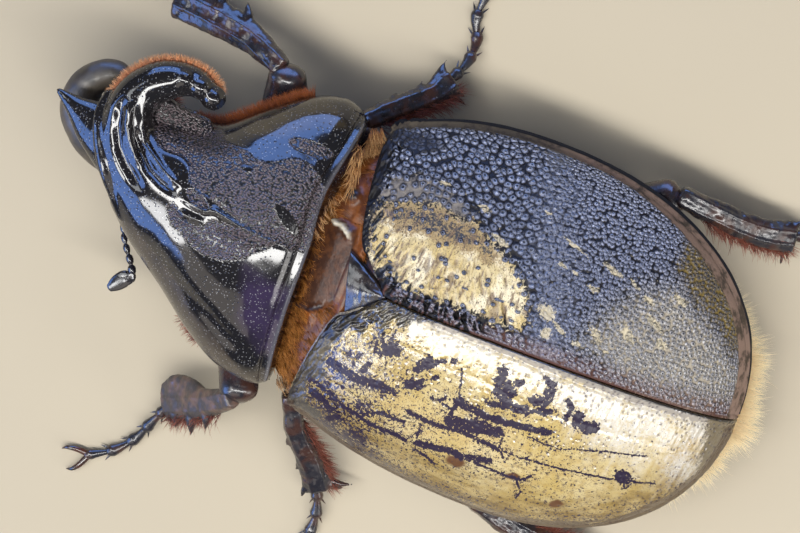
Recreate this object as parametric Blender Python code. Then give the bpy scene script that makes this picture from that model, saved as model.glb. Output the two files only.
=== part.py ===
# Hercules beetle, half male and half female, life size, standing on six feet.
# Sizes are in millimetres in the beetle's own frame: +X its left, +Y its rear, +Z up,
# zero under the tip of the scutellum on the floor. The finished model is moved so that
# its origin is at the middle of its footprint.

import math
import random
from bisect import bisect_right

import bmesh
import bpy
from mathutils import Matrix, Vector

MM = 0.001
GAP = 0.3                     # clearance between touching pieces
SEED = 11

# Elytra: the wing cases, a dome open below
# Per side (1 left, -1 right): half width, where it is widest, reach back and reach front
ELYTRON_OUTLINES = {1: (20.3, 17.0, 24.5, 37.2), -1: (21.8, 12.0, 29.5, 27.5)}
ELYTRON_REAR_Y = 41.5
ELYTRON_POWER = 2.2
ELYTRON_TOP = 24.5
ELYTRON_TOP_Y = 8.0
ELYTRON_FRONT_DROP = 8.0      # distance over which the suture drops 1 mm
ELYTRON_THICK = 0.9
ELYTRON_LIP = 0.9             # edge turned in under the margin
ELYTRON_END_ANGLE = 87.0
MARGIN_HEIGHT_FRONT = 12.5
MARGIN_HEIGHT_REAR = 9.5
ELYTRON_ROWS = 19
ELYTRON_COLUMNS = 11
BASE_NOTCH = 3.6              # half width and depth of the notch for the scutellum
BASE_SWEEP = 3.0
BASE_RUN = 11.5
BASE_POWER = 0.45

# Core: the hind body under the wing cases
CORE_SIDE_INSET = 2.2
CORE_TOP_INSET = 1.3
CORE_SIDES = 24
BELLY_HEIGHT = 3.0
BELLY_POWER = 1.35
PYGIDIUM_HEIGHT = 8.2
COLLAR_FRONT_Y = -8.8
COLLAR_REAR_Y = -3.95
COLLAR_DIP = 1.3
COLLAR_STEP_Y = -2.2
COLLAR_STEP_RUN = 2.6
METATHORAX_REAR_Y = 12.0
ABDOMEN_REAR_Y = 39.15

# Scutellum: the small triangle between the wing cases
SCUTELLUM_BASE_Y = -4.4
SCUTELLUM_APEX_Y = 0.1
SCUTELLUM_HALF = 3.8
SCUTELLUM_SHIFT = 0.75        # its base lies left of the middle and turned
SCUTELLUM_SLANT = 0.27
SCUTELLUM_DEPTH = 3.0
SCUTELLUM_SUNK = 0.35
SCUTELLUM_DIP = 0.9

# Prothorax stations: y, left edge, right edge, edge height left, edge height right,
# crest x, crest height, underside height
PROTHORAX_STATIONS = [
    (-9.2, 15.0, -16.4, 14.2, 14.2, -1.0, 21.6, 5.2),
    (-10.4, 15.9, -17.5, 14.2, 14.2, -1.0, 22.8, 4.8),
    (-12.5, 16.0, -18.0, 14.2, 14.2, -1.0, 24.0, 4.4),
    (-16.0, 15.2, -16.9, 14.2, 14.2, -1.2, 25.1, 4.0),
    (-20.0, 12.8, -13.9, 14.3, 14.4, -1.6, 25.6, 4.2),
    (-24.0, 9.7, -10.6, 14.6, 14.8, -2.4, 25.5, 6.5),
    (-27.0, 7.5, -10.0, 15.2, 15.4, -3.0, 25.1, 12.5),
    (-29.5, 5.5, -9.7, 16.0, 16.0, -3.5, 24.7, 15.2),
    (-32.5, 2.4, -8.6, 17.6, 17.4, -4.4, 24.1, 16.4),
]
PROTHORAX_RINGS = 17
PROTHORAX_SIDES = 32
PROTHORAX_TOP_POWER = 2.15
PROTHORAX_UNDER_POWER = 1.45
# How far the rear edge curves forward, at places across it, right to left
REAR_BOW_X = [-18.0, -13.5, -8.0, -2.0, 6.0, 12.0, 16.0]
REAR_BOW = [0.0, 0.1, 1.2, 0.7, 0.6, 0.3, 0.0]
REAR_BOW_RUN = 2.5
COLLAR_BOW = 0.35             # share of the bow that the collar behind it follows

# Horns: centre line points with half widths and half heights
THORACIC_HORN = [(-1.6, -25.5, 19.6), (-3.0, -29.8, 20.4), (-5.6, -32.8, 21.3), (-8.9, -33.7, 22.0),
                 (-11.5, -32.9, 22.3), (-13.4, -31.0, 22.5), (-14.3, -28.6, 22.3), (-14.1, -26.8, 22.0),
                 (-13.2, -25.5, 21.6)]
THORACIC_HORN_WIDTHS = [5.0, 4.8, 3.7, 2.7, 2.45, 2.25, 1.8, 1.45, 1.0]
THORACIC_HORN_HEIGHTS = [4.2, 4.0, 3.3, 2.9, 2.7, 2.4, 2.0, 1.6, 1.0]
HORN_TOOTH = [(-4.2, -33.4, 20.6), (-5.85, -37.6, 19.9), (-6.75, -40.2, 19.6), (-7.6, -42.3, 19.5)]
HORN_TOOTH_WIDTHS = [3.6, 2.5, 1.2, 0.4]
HORN_TOOTH_HEIGHTS = [2.4, 1.5, 0.85, 0.35]
LEDGE_KNOB = [(-8.6, -27.6, 15.8), (-10.2, -29.3, 16.2)]
LEDGE_KNOB_RADII = [1.6, 0.75]
CEPHALIC_HORN = [(-1.8, -30.8, 10.4), (-2.4, -34.6, 12.0), (-3.6, -37.8, 13.2), (-6.0, -40.4, 14.0),
                 (-8.5, -41.0, 14.6), (-10.9, -39.7, 15.0), (-11.8, -37.6, 15.2), (-11.1, -35.8, 15.3)]
CEPHALIC_HORN_RADII = [3.1, 2.9, 2.75, 2.35, 1.4, 1.2, 1.15, 0.7]
HORN_SIDES = 14
HORN_RINGS = 20
HORN_CUT_CENTRE = (-1.6, -29.6, 20.5)
HORN_CUT_SIZE = (18.2, 0.3, 18.0)
HORN_CUT_TURN = -2.9

# Head
HEAD_X = -2.3
HEAD_Z = 8.6
HEAD_STATIONS_Y = [-24.6, -26.4, -29.0, -31.5, -33.6, -35.2, -36.0]
HEAD_WIDTHS = [3.0, 4.4, 4.8, 4.0, 3.0, 2.3, 1.7]
HEAD_HEIGHTS = [2.8, 3.8, 4.1, 3.4, 2.1, 1.3, 0.8]
EYE_PLACE = (4.6, -29.8, 8.6)
EYE_RADIUS = 1.3
MANDIBLE = [(1.3, -33.0, 7.0), (1.7, -35.6, 6.6), (1.0, -37.2, 6.5)]
MANDIBLE_RADII = [1.0, 0.8, 0.35]
PALP = [(2.6, -32.0, 5.8), (3.6, -34.2, 4.2), (3.3, -36.0, 3.4)]
PALP_RADII = [0.5, 0.45, 0.4]
ANTENNA_LEFT = [(0.6, -32.2, 7.2), (4.4, -32.3, 7.8), (7.2, -31.0, 8.8), (9.2, -29.5, 9.0),
                (10.6, -28.7, 9.0), (11.4, -29.5, 8.8), (13.0, -30.7, 8.4)]
ANTENNA_RIGHT = [(-5.2, -32.2, 6.8), (-7.2, -32.6, 6.4), (-8.4, -31.6, 6.2), (-8.9, -30.0, 6.0),
                 (-9.0, -28.6, 5.8), (-8.6, -27.2, 5.6), (-8.4, -25.4, 5.4)]
ANTENNA_WIDTHS = [0.55, 0.45, 0.4, 0.45, 0.6, 1.0, 0.75]
ANTENNA_HEIGHTS = [0.55, 0.45, 0.4, 0.45, 0.5, 0.6, 0.45]

# Feet
TARSUS_RADIUS = 0.72
TARSUS_SEGMENTS = 5
CLAW_LENGTH = 2.6
CLAW_SPREAD = 1.25
CLAW_RADII = [0.42, 0.36, 0.14]

# Hair fringes, made as flat locks sunk in their node
TAIL_LOCKS = 24
TAIL_ARC = 58.0               # degrees either side of the middle
TAIL_CENTRE_Y = 12.2
TAIL_HEIGHT = 7.2
TAIL_ROOT_RADII = (14.4, 24.8)
TAIL_TIP_RADII = (20.0, 32.3)
TAIL_LOCK = (0.4, 3.6, 1.4)   # sag, width, thickness
SHIELD_LOCKS = 11
SHIELD_LOCKS_Y = (-26.4, -15.6)
SHIELD_LOCK = (0.2, 2.2, 1.2)
SHIELD_LOCK_ROOT = (1.1, 0.6, 0.3)
SHIELD_LOCK_TIP = (-0.9, -1.5, 0.0)
HORN_LOCKS = 15
HORN_LOCKS_SPAN = (0.29, 0.9)
HORN_LOCK = (0.1, 2.0, 1.1)
HORN_LOCK_ROOT = -0.8
HORN_LOCK_TIP = 1.15

# One row of points for each leg: femur, tibia, tarsus
LEGS = {
    "fore_right": {
        "femur": [(-2.4, -17.0, 4.9), (-5.8, -17.5, 5.9), (-12.2, -18.7, 8.3), (-17.6, -19.8, 11.8)],
        "tibia": [(-18.4, -20.8, 12.0), (-19.9, -25.0, 10.2), (-20.5, -29.2, 8.4), (-20.7, -35.2, 5.8)],
        "tarsus": [(-20.7, -34.6, 5.9), (-21.2, -38.6, 4.0), (-22.6, -43.0, 1.2), (-25.0, -46.8, 0.66),
                   (-27.0, -49.4, 0.66)],
        "outward": (-1.0, 0.1, 0.0),
    },
    "fore_left": {
        "femur": [(0.4, -17.0, 4.9), (3.9, -17.0, 5.9), (11.2, -14.9, 8.4), (17.9, -12.2, 12.5)],
        "tibia": [(18.8, -12.5, 13.0), (21.2, -15.4, 9.2), (22.9, -18.0, 5.6), (24.4, -20.3, 2.6)],
        "tarsus": [(24.0, -19.8, 3.0), (27.4, -21.4, 1.6), (30.1, -22.6, 0.66), (32.5, -24.6, 0.66),
                   (34.4, -27.6, 0.66)],
        "outward": (0.8, 0.55, 0.2),
    },
    "mid_right": {
        "femur": [(-2.3, -0.2, 3.9), (-5.6, -1.4, 4.4), (-10.0, -6.0, 5.8), (-14.1, -10.5, 9.2)],
        "tibia": [(-14.7, -11.2, 10.0), (-17.9, -7.9, 7.8), (-21.2, -4.2, 5.0), (-23.2, -3.0, 4.0)],
        "tarsus": [(-22.7, -3.3, 4.1), (-25.6, -2.0, 2.4), (-28.3, -1.9, 0.9), (-30.8, -2.9, 0.66),
                   (-34.4, -2.7, 0.66)],
        "outward": (-0.7, -0.7, 0.0),
    },
    "mid_left": {
        "femur": [(2.3, -0.2, 3.9), (5.6, -1.4, 4.4), (11.0, -4.3, 6.2), (15.6, -6.3, 9.3)],
        "tibia": [(16.5, -6.7, 9.9), (20.6, -4.9, 7.6), (24.1, -2.0, 5.0), (26.9, -0.2, 3.2)],
        "tarsus": [(26.4, -0.6, 3.5), (29.8, 0.5, 1.7), (32.8, 0.6, 0.66), (35.4, -0.3, 0.66),
                   (38.2, -0.7, 0.66)],
        "outward": (0.55, -0.8, 0.0),
    },
    "hind_right": {
        "femur": [(-2.3, 8.6, 3.9), (-6.4, 9.9, 4.2), (-13.6, 17.0, 5.0), (-20.4, 25.4, 7.9)],
        "tibia": [(-21.1, 26.4, 8.8), (-20.5, 31.0, 7.6), (-20.2, 36.0, 5.4), (-20.9, 40.0, 3.6)],
        "tarsus": [(-21.0, 39.0, 4.0), (-21.6, 43.2, 1.9), (-22.2, 46.4, 0.66), (-23.2, 49.4, 0.66),
                   (-24.3, 52.2, 0.66)],
        "outward": (-1.0, 0.15, 0.0),
    },
    "hind_left": {
        "femur": [(2.3, 8.6, 3.9), (6.4, 9.8, 4.3), (12.8, 12.6, 5.9), (19.2, 16.2, 8.5)],
        "tibia": [(20.0, 16.9, 9.1), (21.6, 22.0, 7.2), (22.6, 27.0, 5.2), (23.4, 31.6, 3.5)],
        "tarsus": [(23.3, 31.1, 3.7), (24.6, 34.8, 1.7), (26.0, 37.6, 0.66), (27.6, 40.4, 0.66),
                   (29.0, 43.0, 0.66)],
        "outward": (1.0, -0.2, 0.0),
    },
}
FEMUR_WIDTHS = [1.9, 1.6, 2.8, 2.2]
FEMUR_HEIGHTS = [1.6, 1.5, 2.1, 1.8]
FORE_TIBIA_WIDTHS = [1.4, 1.9, 2.0, 2.3]
MID_TIBIA_WIDTHS = [1.1, 1.4, 1.6, 1.9]
HIND_TIBIA_WIDTHS = [1.0, 1.15, 1.35, 1.6]
TIBIA_HEIGHTS = [1.1, 1.0, 0.95, 0.85]
# Outer teeth: share along the tibia, depth of the root, reach out, reach ahead, radius
FORE_TEETH = [(0.5, 0.6, 3.6, 1.3, 0.95), (0.72, 0.6, 3.0, 1.1, 0.8), (0.9, 1.3, 2.6, 1.0, 0.7)]
OTHER_TEETH = [(0.42, 0.6, 1.7, 1.2, 0.6), (0.68, 0.6, 1.9, 1.2, 0.6), (0.97, 1.3, 2.2, 1.2, 0.6)]
# Inner spur of the middle and hind tibiae
SPUR_SHARE = 0.95
SPUR_ROOT = (-1.4, -0.3)
SPUR_TIP = (-3.5, 1.7)
SPUR_RADIUS = 0.45


# Scene, materials and objects

def clear_scene():
    for thing in list(bpy.data.objects):
        bpy.data.objects.remove(thing, do_unlink=True)
    for group in list(bpy.data.collections):
        bpy.data.collections.remove(group)


def new_collection(name):
    group = bpy.data.collections.new(name)
    bpy.context.scene.collection.children.link(group)
    return group


def make_material(name, colour, roughness):
    finish = bpy.data.materials.new(name)
    finish.use_nodes = True
    shader = finish.node_tree.nodes["Principled BSDF"]
    shader.inputs["Base Color"].default_value = (*colour, 1.0)
    shader.inputs["Roughness"].default_value = roughness
    shader.inputs["Metallic"].default_value = 0.0
    return finish


def object_from(name, bm, finish=None):
    bmesh.ops.triangulate(bm, faces=[f for f in bm.faces if len(f.verts) > 4])
    bmesh.ops.recalc_face_normals(bm, faces=bm.faces)
    mesh = bpy.data.meshes.new(name)
    bm.to_mesh(mesh)
    bm.free()
    thing = bpy.data.objects.new(name, mesh)
    bpy.context.scene.collection.objects.link(thing)
    if finish:
        thing.data.materials.append(finish)
    return thing


# Smooth curves through a few driving points

def slope(stations, values, k):
    before = max(k - 1, 0)
    after = min(k + 1, len(stations) - 1)
    return (values[after] - values[before]) / (stations[after] - stations[before])


def smooth_value(stations, values, at):
    k = min(max(bisect_right(stations, at) - 1, 0), len(stations) - 2)
    span = stations[k + 1] - stations[k]
    t = min(max((at - stations[k]) / span, 0.0), 1.0)
    rise = values[k + 1] - values[k]
    start = slope(stations, values, k) * span
    end = slope(stations, values, k + 1) * span
    return values[k] + start * t + (3 * rise - 2 * start - end) * t**2 + (start + end - 2 * rise) * t**3


def chord_lengths(points):
    lengths = [0.0]
    for a, b in zip(points, points[1:]):
        lengths.append(lengths[-1] + (Vector(b) - Vector(a)).length)
    return lengths


def path_point(points, lengths, at):
    return Vector([smooth_value(lengths, [p[axis] for p in points], at) for axis in range(3)])


def path_direction(points, lengths, at):
    step = lengths[-1] * 0.01
    ahead = path_point(points, lengths, min(at + step, lengths[-1]))
    behind = path_point(points, lengths, max(at - step, 0.0))
    return (ahead - behind).normalized()


def rounded(angle, power):
    c = math.cos(angle)
    s = math.sin(angle)
    return math.copysign(abs(c) ** (2 / power), c), math.copysign(abs(s) ** (2 / power), s)


# Closed meshes

def skin_rings(rings):
    # Joins rings of points into one closed tube with a pole at each end.
    bm = bmesh.new()
    loops = [[bm.verts.new(p * MM) for p in ring] for ring in rings]
    sides = len(rings[0])
    for lower, upper in zip(loops, loops[1:]):
        for k in range(sides):
            n = (k + 1) % sides
            bm.faces.new((lower[k], lower[n], upper[n]))
            bm.faces.new((lower[k], upper[n], upper[k]))
    for loop, ring in ((loops[0], rings[0]), (loops[-1], rings[-1])):
        pole = bm.verts.new(sum(ring, Vector()) / sides * MM)
        for k in range(sides):
            bm.faces.new((loop[k], loop[(k + 1) % sides], pole))
    return bm


def skin_shell(outer, inner):
    # Joins two grids of points into one closed plate, edge to edge.
    bm = bmesh.new()
    rows = len(outer)
    columns = len(outer[0])
    sheets = [[[bm.verts.new(p * MM) for p in row] for row in grid] for grid in (outer, inner)]
    for sheet in sheets:
        for i in range(rows - 1):
            for j in range(columns - 1):
                bm.faces.new((sheet[i][j], sheet[i][j + 1], sheet[i + 1][j + 1]))
                bm.faces.new((sheet[i][j], sheet[i + 1][j + 1], sheet[i + 1][j]))
    rim = [(0, j) for j in range(columns)] + [(i, columns - 1) for i in range(1, rows)]
    rim += [(rows - 1, j) for j in range(columns - 2, -1, -1)] + [(i, 0) for i in range(rows - 2, 0, -1)]
    for (a, b), (c, d) in zip(rim, rim[1:] + rim[:1]):
        bm.faces.new((sheets[0][a][b], sheets[0][c][d], sheets[1][c][d]))
        bm.faces.new((sheets[0][a][b], sheets[1][c][d], sheets[1][a][b]))
    return bm


def sweep(points, widths, heights, sides, steps, grow=0.0, round_ends=0.0):
    # A tube along a smooth path. A grown copy serves as the cutter that keeps the gap.
    # round_ends adds a domed cap, as a share of the end's own half width.
    lengths = chord_lengths(points)
    stations = [(s / steps, 0.0, 1.0) for s in range(steps + 1)]
    if round_ends:
        stations = [(0.0, -round_ends, 0.62)] + stations + [(1.0, round_ends, 0.62)]
    rings = []
    for share, beyond, size in stations:
        at = lengths[-1] * share
        centre = path_point(points, lengths, at)
        ahead = path_direction(points, lengths, at)
        wide = (smooth_value(lengths, widths, at) + grow) * size
        high = (smooth_value(lengths, heights, at) + grow) * size
        if not round_ends and share in (0.0, 1.0):
            centre += ahead * (grow if share else -grow)
        centre += ahead * beyond * wide / size
        side = ahead.cross(Vector((0.0, 0.0, 1.0))).normalized()
        rise = side.cross(ahead)
        rings.append([centre + side * wide * math.cos(a) + rise * high * math.sin(a)
                      for a in (2 * math.pi * k / sides for k in range(sides))])
    return skin_rings(rings)


def spike(root, tip, radius, sides=4):
    axis = (Vector(tip) - Vector(root))
    side = axis.orthogonal().normalized()
    other = axis.cross(side).normalized()
    rings = []
    for part, size in ((0.0, 1.0), (1.0, 0.2)):
        middle = Vector(root) + axis * part
        rings.append([middle + (side * math.cos(a) + other * math.sin(a)) * radius * size
                      for a in (2 * math.pi * k / sides for k in range(sides))])
    return skin_rings(rings)


def hair_lock(root, tip, sag, width, thick):
    # A flat lock of hair: broad at the root, bending by its sag, drawn out to a thin end.
    root = Vector(root)
    tip = Vector(tip)
    axis = tip - root
    side = axis.cross(Vector((0.0, 0.0, 1.0))).normalized()
    rings = []
    for part, size in ((0.0, 0.85), (0.5, 1.0), (1.0, 0.4)):
        middle = root + axis * part - Vector((0.0, 0.0, sag * part**2))
        half = side * width * 0.5 * size
        high = Vector((0.0, 0.0, thick * 0.5 * (1.0 - 0.45 * part)))
        rings.append([middle + half, middle + high, middle - half, middle - high])
    return skin_rings(rings)


# Booleans

def bake(thing):
    graph = bpy.context.evaluated_depsgraph_get()
    graph.update()
    mesh = bpy.data.meshes.new_from_object(thing.evaluated_get(graph))
    thing.modifiers.clear()
    old = thing.data
    thing.data = mesh
    bpy.data.meshes.remove(old)


def boolean(thing, others, operation, solver="EXACT"):
    group = new_collection(thing.name + "_tools")
    for other in others:
        bpy.context.scene.collection.objects.unlink(other)
        group.objects.link(other)
        other.hide_render = True
        other.display_type = "WIRE"
    step = thing.modifiers.new("boolean", "BOOLEAN")
    step.operation = operation
    step.operand_type = "COLLECTION"
    step.collection = group
    step.solver = solver
    bake(thing)
    for other in others:
        bpy.data.objects.remove(other, do_unlink=True)
    bpy.data.collections.remove(group)


def connected_pieces(bm):
    left = set(bm.verts)
    pieces = []
    while left:
        front = [left.pop()]
        found = set(front)
        while front:
            vert = front.pop()
            for edge in vert.link_edges:
                other = edge.other_vert(vert)
                if other in left:
                    left.discard(other)
                    found.add(other)
                    front.append(other)
        pieces.append(found)
    return sorted(pieces, key=len, reverse=True)


def keep_largest(thing):
    bm = bmesh.new()
    bm.from_mesh(thing.data)
    pieces = connected_pieces(bm)
    loose = [v for piece in pieces[1:] for v in piece]
    bmesh.ops.delete(bm, geom=loose, context="VERTS")
    bm.to_mesh(thing.data)
    bm.free()


def fuse(thing, parts, solver="EXACT"):
    if parts:
        boolean(thing, parts, "UNION", solver)
        keep_largest(thing)
    return thing


def carve(thing, cutters, solver="EXACT"):
    if cutters:
        boolean(thing, cutters, "DIFFERENCE", solver)
        keep_largest(thing)
    return thing


# Shape of the hind body

def half_width(y, side, inset=0.0):
    half, widest, back, front = ELYTRON_OUTLINES[side]
    reach = back if y > widest else front
    t = min(abs(y - widest) / (reach - inset), 1.0)
    return (half - inset) * (1.0 - t**ELYTRON_POWER) ** (1.0 / ELYTRON_POWER)


def margin_height(y):
    share = min(max(y / ELYTRON_REAR_Y, 0.0), 1.0)
    return MARGIN_HEIGHT_FRONT + (MARGIN_HEIGHT_REAR - MARGIN_HEIGHT_FRONT) * share


def crest_height(y, inset=0.0):
    if y < ELYTRON_TOP_Y:
        return ELYTRON_TOP - inset - ((ELYTRON_TOP_Y - y) / ELYTRON_FRONT_DROP) ** 2
    reach = ELYTRON_REAR_Y - ELYTRON_TOP_Y - inset
    t = min((y - ELYTRON_TOP_Y) / reach, 1.0)
    low = margin_height(y)
    return low + (ELYTRON_TOP - inset - low) * math.sqrt(1.0 - t * t)


def base_edge(x):
    # Front edge of the wing cases: along the scutellum, then out to the shoulder.
    across = abs(x)
    if across < BASE_NOTCH:
        return -across
    return -BASE_NOTCH - BASE_SWEEP * min((across - BASE_NOTCH) / BASE_RUN, 1.0) ** BASE_POWER


def elytron_grid(side, inset):
    widest, back, front_reach = ELYTRON_OUTLINES[side][1:]
    inner_edge = GAP / 2
    columns = []
    for j in range(ELYTRON_COLUMNS + 1):
        low, high = rounded(math.pi / 2 * j / ELYTRON_COLUMNS, ELYTRON_POWER)
        front = 0.0
        for _ in range(3):
            front = base_edge(half_width(front, side) * high)
        start = -math.asin(min((widest - front) / front_reach, 1.0) ** (ELYTRON_POWER / 2))
        end = math.radians(ELYTRON_END_ANGLE)
        column = []
        for i in range(ELYTRON_ROWS + 1):
            angle = start + (end - start) * i / ELYTRON_ROWS
            way = math.copysign(abs(math.sin(angle)) ** (2 / ELYTRON_POWER), angle)
            y = widest + way * (back - inset if way > 0 else front_reach)
            x = inner_edge + (half_width(y, side, inset) - inner_edge) * high
            z = margin_height(y) + (crest_height(y, inset) - margin_height(y)) * low
            column.append(Vector((side * x, y, z)))
        columns.append(column)
    lip = [Vector((side * (abs(p.x) - ELYTRON_LIP), p.y, p.z - ELYTRON_LIP * 0.8)) for p in columns[-1]]
    columns.append(lip)
    return [list(row) for row in zip(*columns)]


def make_elytron(name, side, finish):
    outer = elytron_grid(side, 0.0)
    inner = elytron_grid(side, ELYTRON_THICK)
    return object_from(name, skin_shell(outer, inner), finish)


def belly_height(y):
    if y < 14.0:
        return BELLY_HEIGHT + 1.6 * min(max(-y / 9.0, 0.0), 1.0)
    return BELLY_HEIGHT + (PYGIDIUM_HEIGHT - BELLY_HEIGHT) * min((y - 14.0) / 27.0, 1.0) ** 2.2


def rear_bow(x, rise):
    return smooth_value(REAR_BOW_X, REAR_BOW, x) * max(rise, 0.0) ** 0.5


def core_ring(y):
    middle = margin_height(y)
    collar = min(max((COLLAR_STEP_Y - y) / COLLAR_STEP_RUN, 0.0), 1.0)
    top = crest_height(y, CORE_TOP_INSET) - COLLAR_DIP * collar
    bottom = min(belly_height(y), middle - 0.6)
    ring = []
    for k in range(CORE_SIDES):
        angle = 2 * math.pi * (k + 0.5) / CORE_SIDES
        power = ELYTRON_POWER if math.sin(angle) > 0 else BELLY_POWER
        across, rise = rounded(angle, power)
        wide = half_width(y, 1 if across > 0 else -1, CORE_SIDE_INSET)
        height = (top - middle) if rise > 0 else (middle - bottom)
        near_front = COLLAR_BOW * min(max((COLLAR_REAR_Y - y) / REAR_BOW_RUN, 0.0), 1.0)
        ring.append(Vector((wide * across, y - rear_bow(wide * across, rise) * near_front,
                            middle + height * rise)))
    return ring


def make_core(name, start, end, rings, finish):
    ys = [start + (end - start) * k / rings for k in range(rings + 1)]
    return object_from(name, skin_rings([core_ring(y) for y in ys]), finish)


def make_abdomen(name, start, rings, finish):
    # Rings crowd toward the end, where the body closes.
    ys = [start + (ABDOMEN_REAR_Y - start) * math.sin(math.pi / 2 * k / rings) for k in range(rings + 1)]
    return object_from(name, skin_rings([core_ring(y) for y in ys]), finish)


def make_scutellum(name, grow=0.0, finish=None):
    rings = []
    steps = 5
    sides = 10
    for k in range(steps + 1):
        share = k / steps
        y = SCUTELLUM_BASE_Y - grow + (SCUTELLUM_APEX_Y - SCUTELLUM_BASE_Y + 2.4 * grow) * share
        half = SCUTELLUM_HALF * (1.0 - share) ** 0.85 + 0.18 + grow
        middle = SCUTELLUM_SHIFT * (1.0 - share)
        top = crest_height(y) - SCUTELLUM_SUNK - SCUTELLUM_DIP * (1.0 - share) + grow
        height = (SCUTELLUM_DEPTH + 2.2 * grow) / 2
        ring = []
        for n in range(sides):
            across, rise = rounded(2 * math.pi * n / sides, 3.0)
            slant = SCUTELLUM_SLANT * half * across * (1.0 - share)
            ring.append(Vector((middle + half * across, y + slant, top - height + height * rise)))
        rings.append(ring)
    return object_from(name, skin_rings(rings), finish)


# Prothorax, horns and head

def prothorax_values(y):
    rows = PROTHORAX_STATIONS[::-1]
    return [smooth_value([row[0] for row in rows], [row[n] for row in rows], y) for n in range(1, 8)]


def prothorax_ring(y):
    left, right, edge_left, edge_right, crest_x, crest, under = prothorax_values(y)
    near_rear = max(1.0 - (PROTHORAX_STATIONS[0][0] - y) / REAR_BOW_RUN, 0.0)
    ring = []
    for k in range(PROTHORAX_SIDES):
        angle = 2 * math.pi * k / PROTHORAX_SIDES
        above = math.sin(angle) >= 0
        across, rise = rounded(angle, PROTHORAX_TOP_POWER if above else PROTHORAX_UNDER_POWER)
        edge = edge_left if across > 0 else edge_right
        reach = (left - crest_x) if across > 0 else (crest_x - right)
        height = (crest - edge) if above else (edge - under)
        x = crest_x + reach * across
        ring.append(Vector((x, y - rear_bow(x, rise) * near_rear, edge + height * rise)))
    return ring


def make_prothorax(name, finish):
    front = PROTHORAX_STATIONS[-1][0]
    rear = PROTHORAX_STATIONS[0][0]
    ys = [rear + (front - rear) * k / PROTHORAX_RINGS for k in range(PROTHORAX_RINGS + 1)]
    body = object_from(name, skin_rings([prothorax_ring(y) for y in ys]), finish)
    horn = object_from("horn", sweep(THORACIC_HORN, THORACIC_HORN_WIDTHS, THORACIC_HORN_HEIGHTS,
                                     HORN_SIDES, HORN_RINGS, 0.0, 0.6))
    tooth = object_from("tooth", sweep(HORN_TOOTH, HORN_TOOTH_WIDTHS, HORN_TOOTH_HEIGHTS, 10, 8))
    knob = object_from("knob", sweep(LEDGE_KNOB, LEDGE_KNOB_RADII, LEDGE_KNOB_RADII, 8, 4))
    return fuse(body, [horn, tooth, knob])


def part_horn(body, name, finish):
    # Splits the horn from the shield with one thin cut across its root.
    bm = bmesh.new()
    bmesh.ops.create_cube(bm, size=1.0)
    bmesh.ops.scale(bm, vec=Vector(HORN_CUT_SIZE) * MM, verts=bm.verts)
    turn = Matrix.Rotation(math.radians(-HORN_CUT_TURN), 3, "Z")
    bmesh.ops.rotate(bm, cent=(0, 0, 0), matrix=turn, verts=bm.verts)
    bmesh.ops.translate(bm, vec=Vector(HORN_CUT_CENTRE) * MM, verts=bm.verts)
    boolean(body, [object_from("horn_cut", bm)], "DIFFERENCE")
    halves = []
    for keep in (0, 1):
        bm = bmesh.new()
        bm.from_mesh(body.data)
        pieces = sorted(connected_pieces(bm)[:2], key=lambda piece: sum(v.co.y for v in piece) / len(piece))
        other = pieces[1 - keep]
        small = [v for piece in connected_pieces(bm)[2:] for v in piece]
        bmesh.ops.delete(bm, geom=list(other) + small, context="VERTS")
        halves.append(bm)
    horn = object_from(name, halves[0], finish)
    halves[1].to_mesh(body.data)
    halves[1].free()
    return horn


def head_bm(grow=0.0):
    points = [(HEAD_X, y, HEAD_Z) for y in HEAD_STATIONS_Y]
    return sweep(points, HEAD_WIDTHS, HEAD_HEIGHTS, 14, 9, grow, 0.3)


def cephalic_horn_bm(grow=0.0):
    return sweep(CEPHALIC_HORN, CEPHALIC_HORN_RADII, CEPHALIC_HORN_RADII, HORN_SIDES, HORN_RINGS, grow,
                 0.6)


def eye_bm(side, grow=0.0):
    bm = bmesh.new()
    bmesh.ops.create_uvsphere(bm, u_segments=10, v_segments=7, radius=(EYE_RADIUS + grow) * MM)
    place = Vector((HEAD_X + side * EYE_PLACE[0], EYE_PLACE[1], EYE_PLACE[2]))
    bmesh.ops.translate(bm, vec=place * MM, verts=bm.verts)
    return bm


def make_antenna(name, points, finish):
    antenna = object_from(name, sweep(points, ANTENNA_WIDTHS, ANTENNA_HEIGHTS, 6, 14, 0.0, 0.5), finish)
    return carve(antenna, [object_from("head_cut", head_bm(GAP))])


def make_mouthpart(name, side, points, radii, finish):
    points = [(HEAD_X + side * x, y, z) for x, y, z in points]
    piece = object_from(name, sweep(points, radii, radii, 7, 6), finish)
    return carve(piece, [object_from("head_cut", head_bm(GAP))])


# Legs

def femur_bm(leg, grow=0.0):
    return sweep(LEGS[leg]["femur"], FEMUR_WIDTHS, FEMUR_HEIGHTS, 10, 7, grow, 0.45)


def tibia_bm(leg, grow=0.0):
    widths = {"fore": FORE_TIBIA_WIDTHS, "mid": MID_TIBIA_WIDTHS, "hind": HIND_TIBIA_WIDTHS}
    return sweep(LEGS[leg]["tibia"], widths[leg.split("_")[0]], TIBIA_HEIGHTS, 8, 6, grow)


def tibia_spikes(leg):
    points = LEGS[leg]["tibia"]
    lengths = chord_lengths(points)
    out = Vector(LEGS[leg]["outward"]).normalized()
    fore = leg.startswith("fore")
    spikes = []
    for share, deep, reach, onward, radius in FORE_TEETH if fore else OTHER_TEETH:
        centre = path_point(points, lengths, lengths[-1] * share)
        ahead = path_direction(points, lengths, lengths[-1] * share)
        spikes.append(spike(centre + out * deep, centre + out * reach + ahead * onward, radius))
    if not fore:
        centre = path_point(points, lengths, lengths[-1] * SPUR_SHARE)
        ahead = path_direction(points, lengths, lengths[-1] * SPUR_SHARE)
        ends = [centre + out * away + ahead * onward for away, onward in (SPUR_ROOT, SPUR_TIP)]
        spikes.append(spike(ends[0], ends[1], SPUR_RADIUS))
    return [object_from("spike", bm) for bm in spikes]


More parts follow.
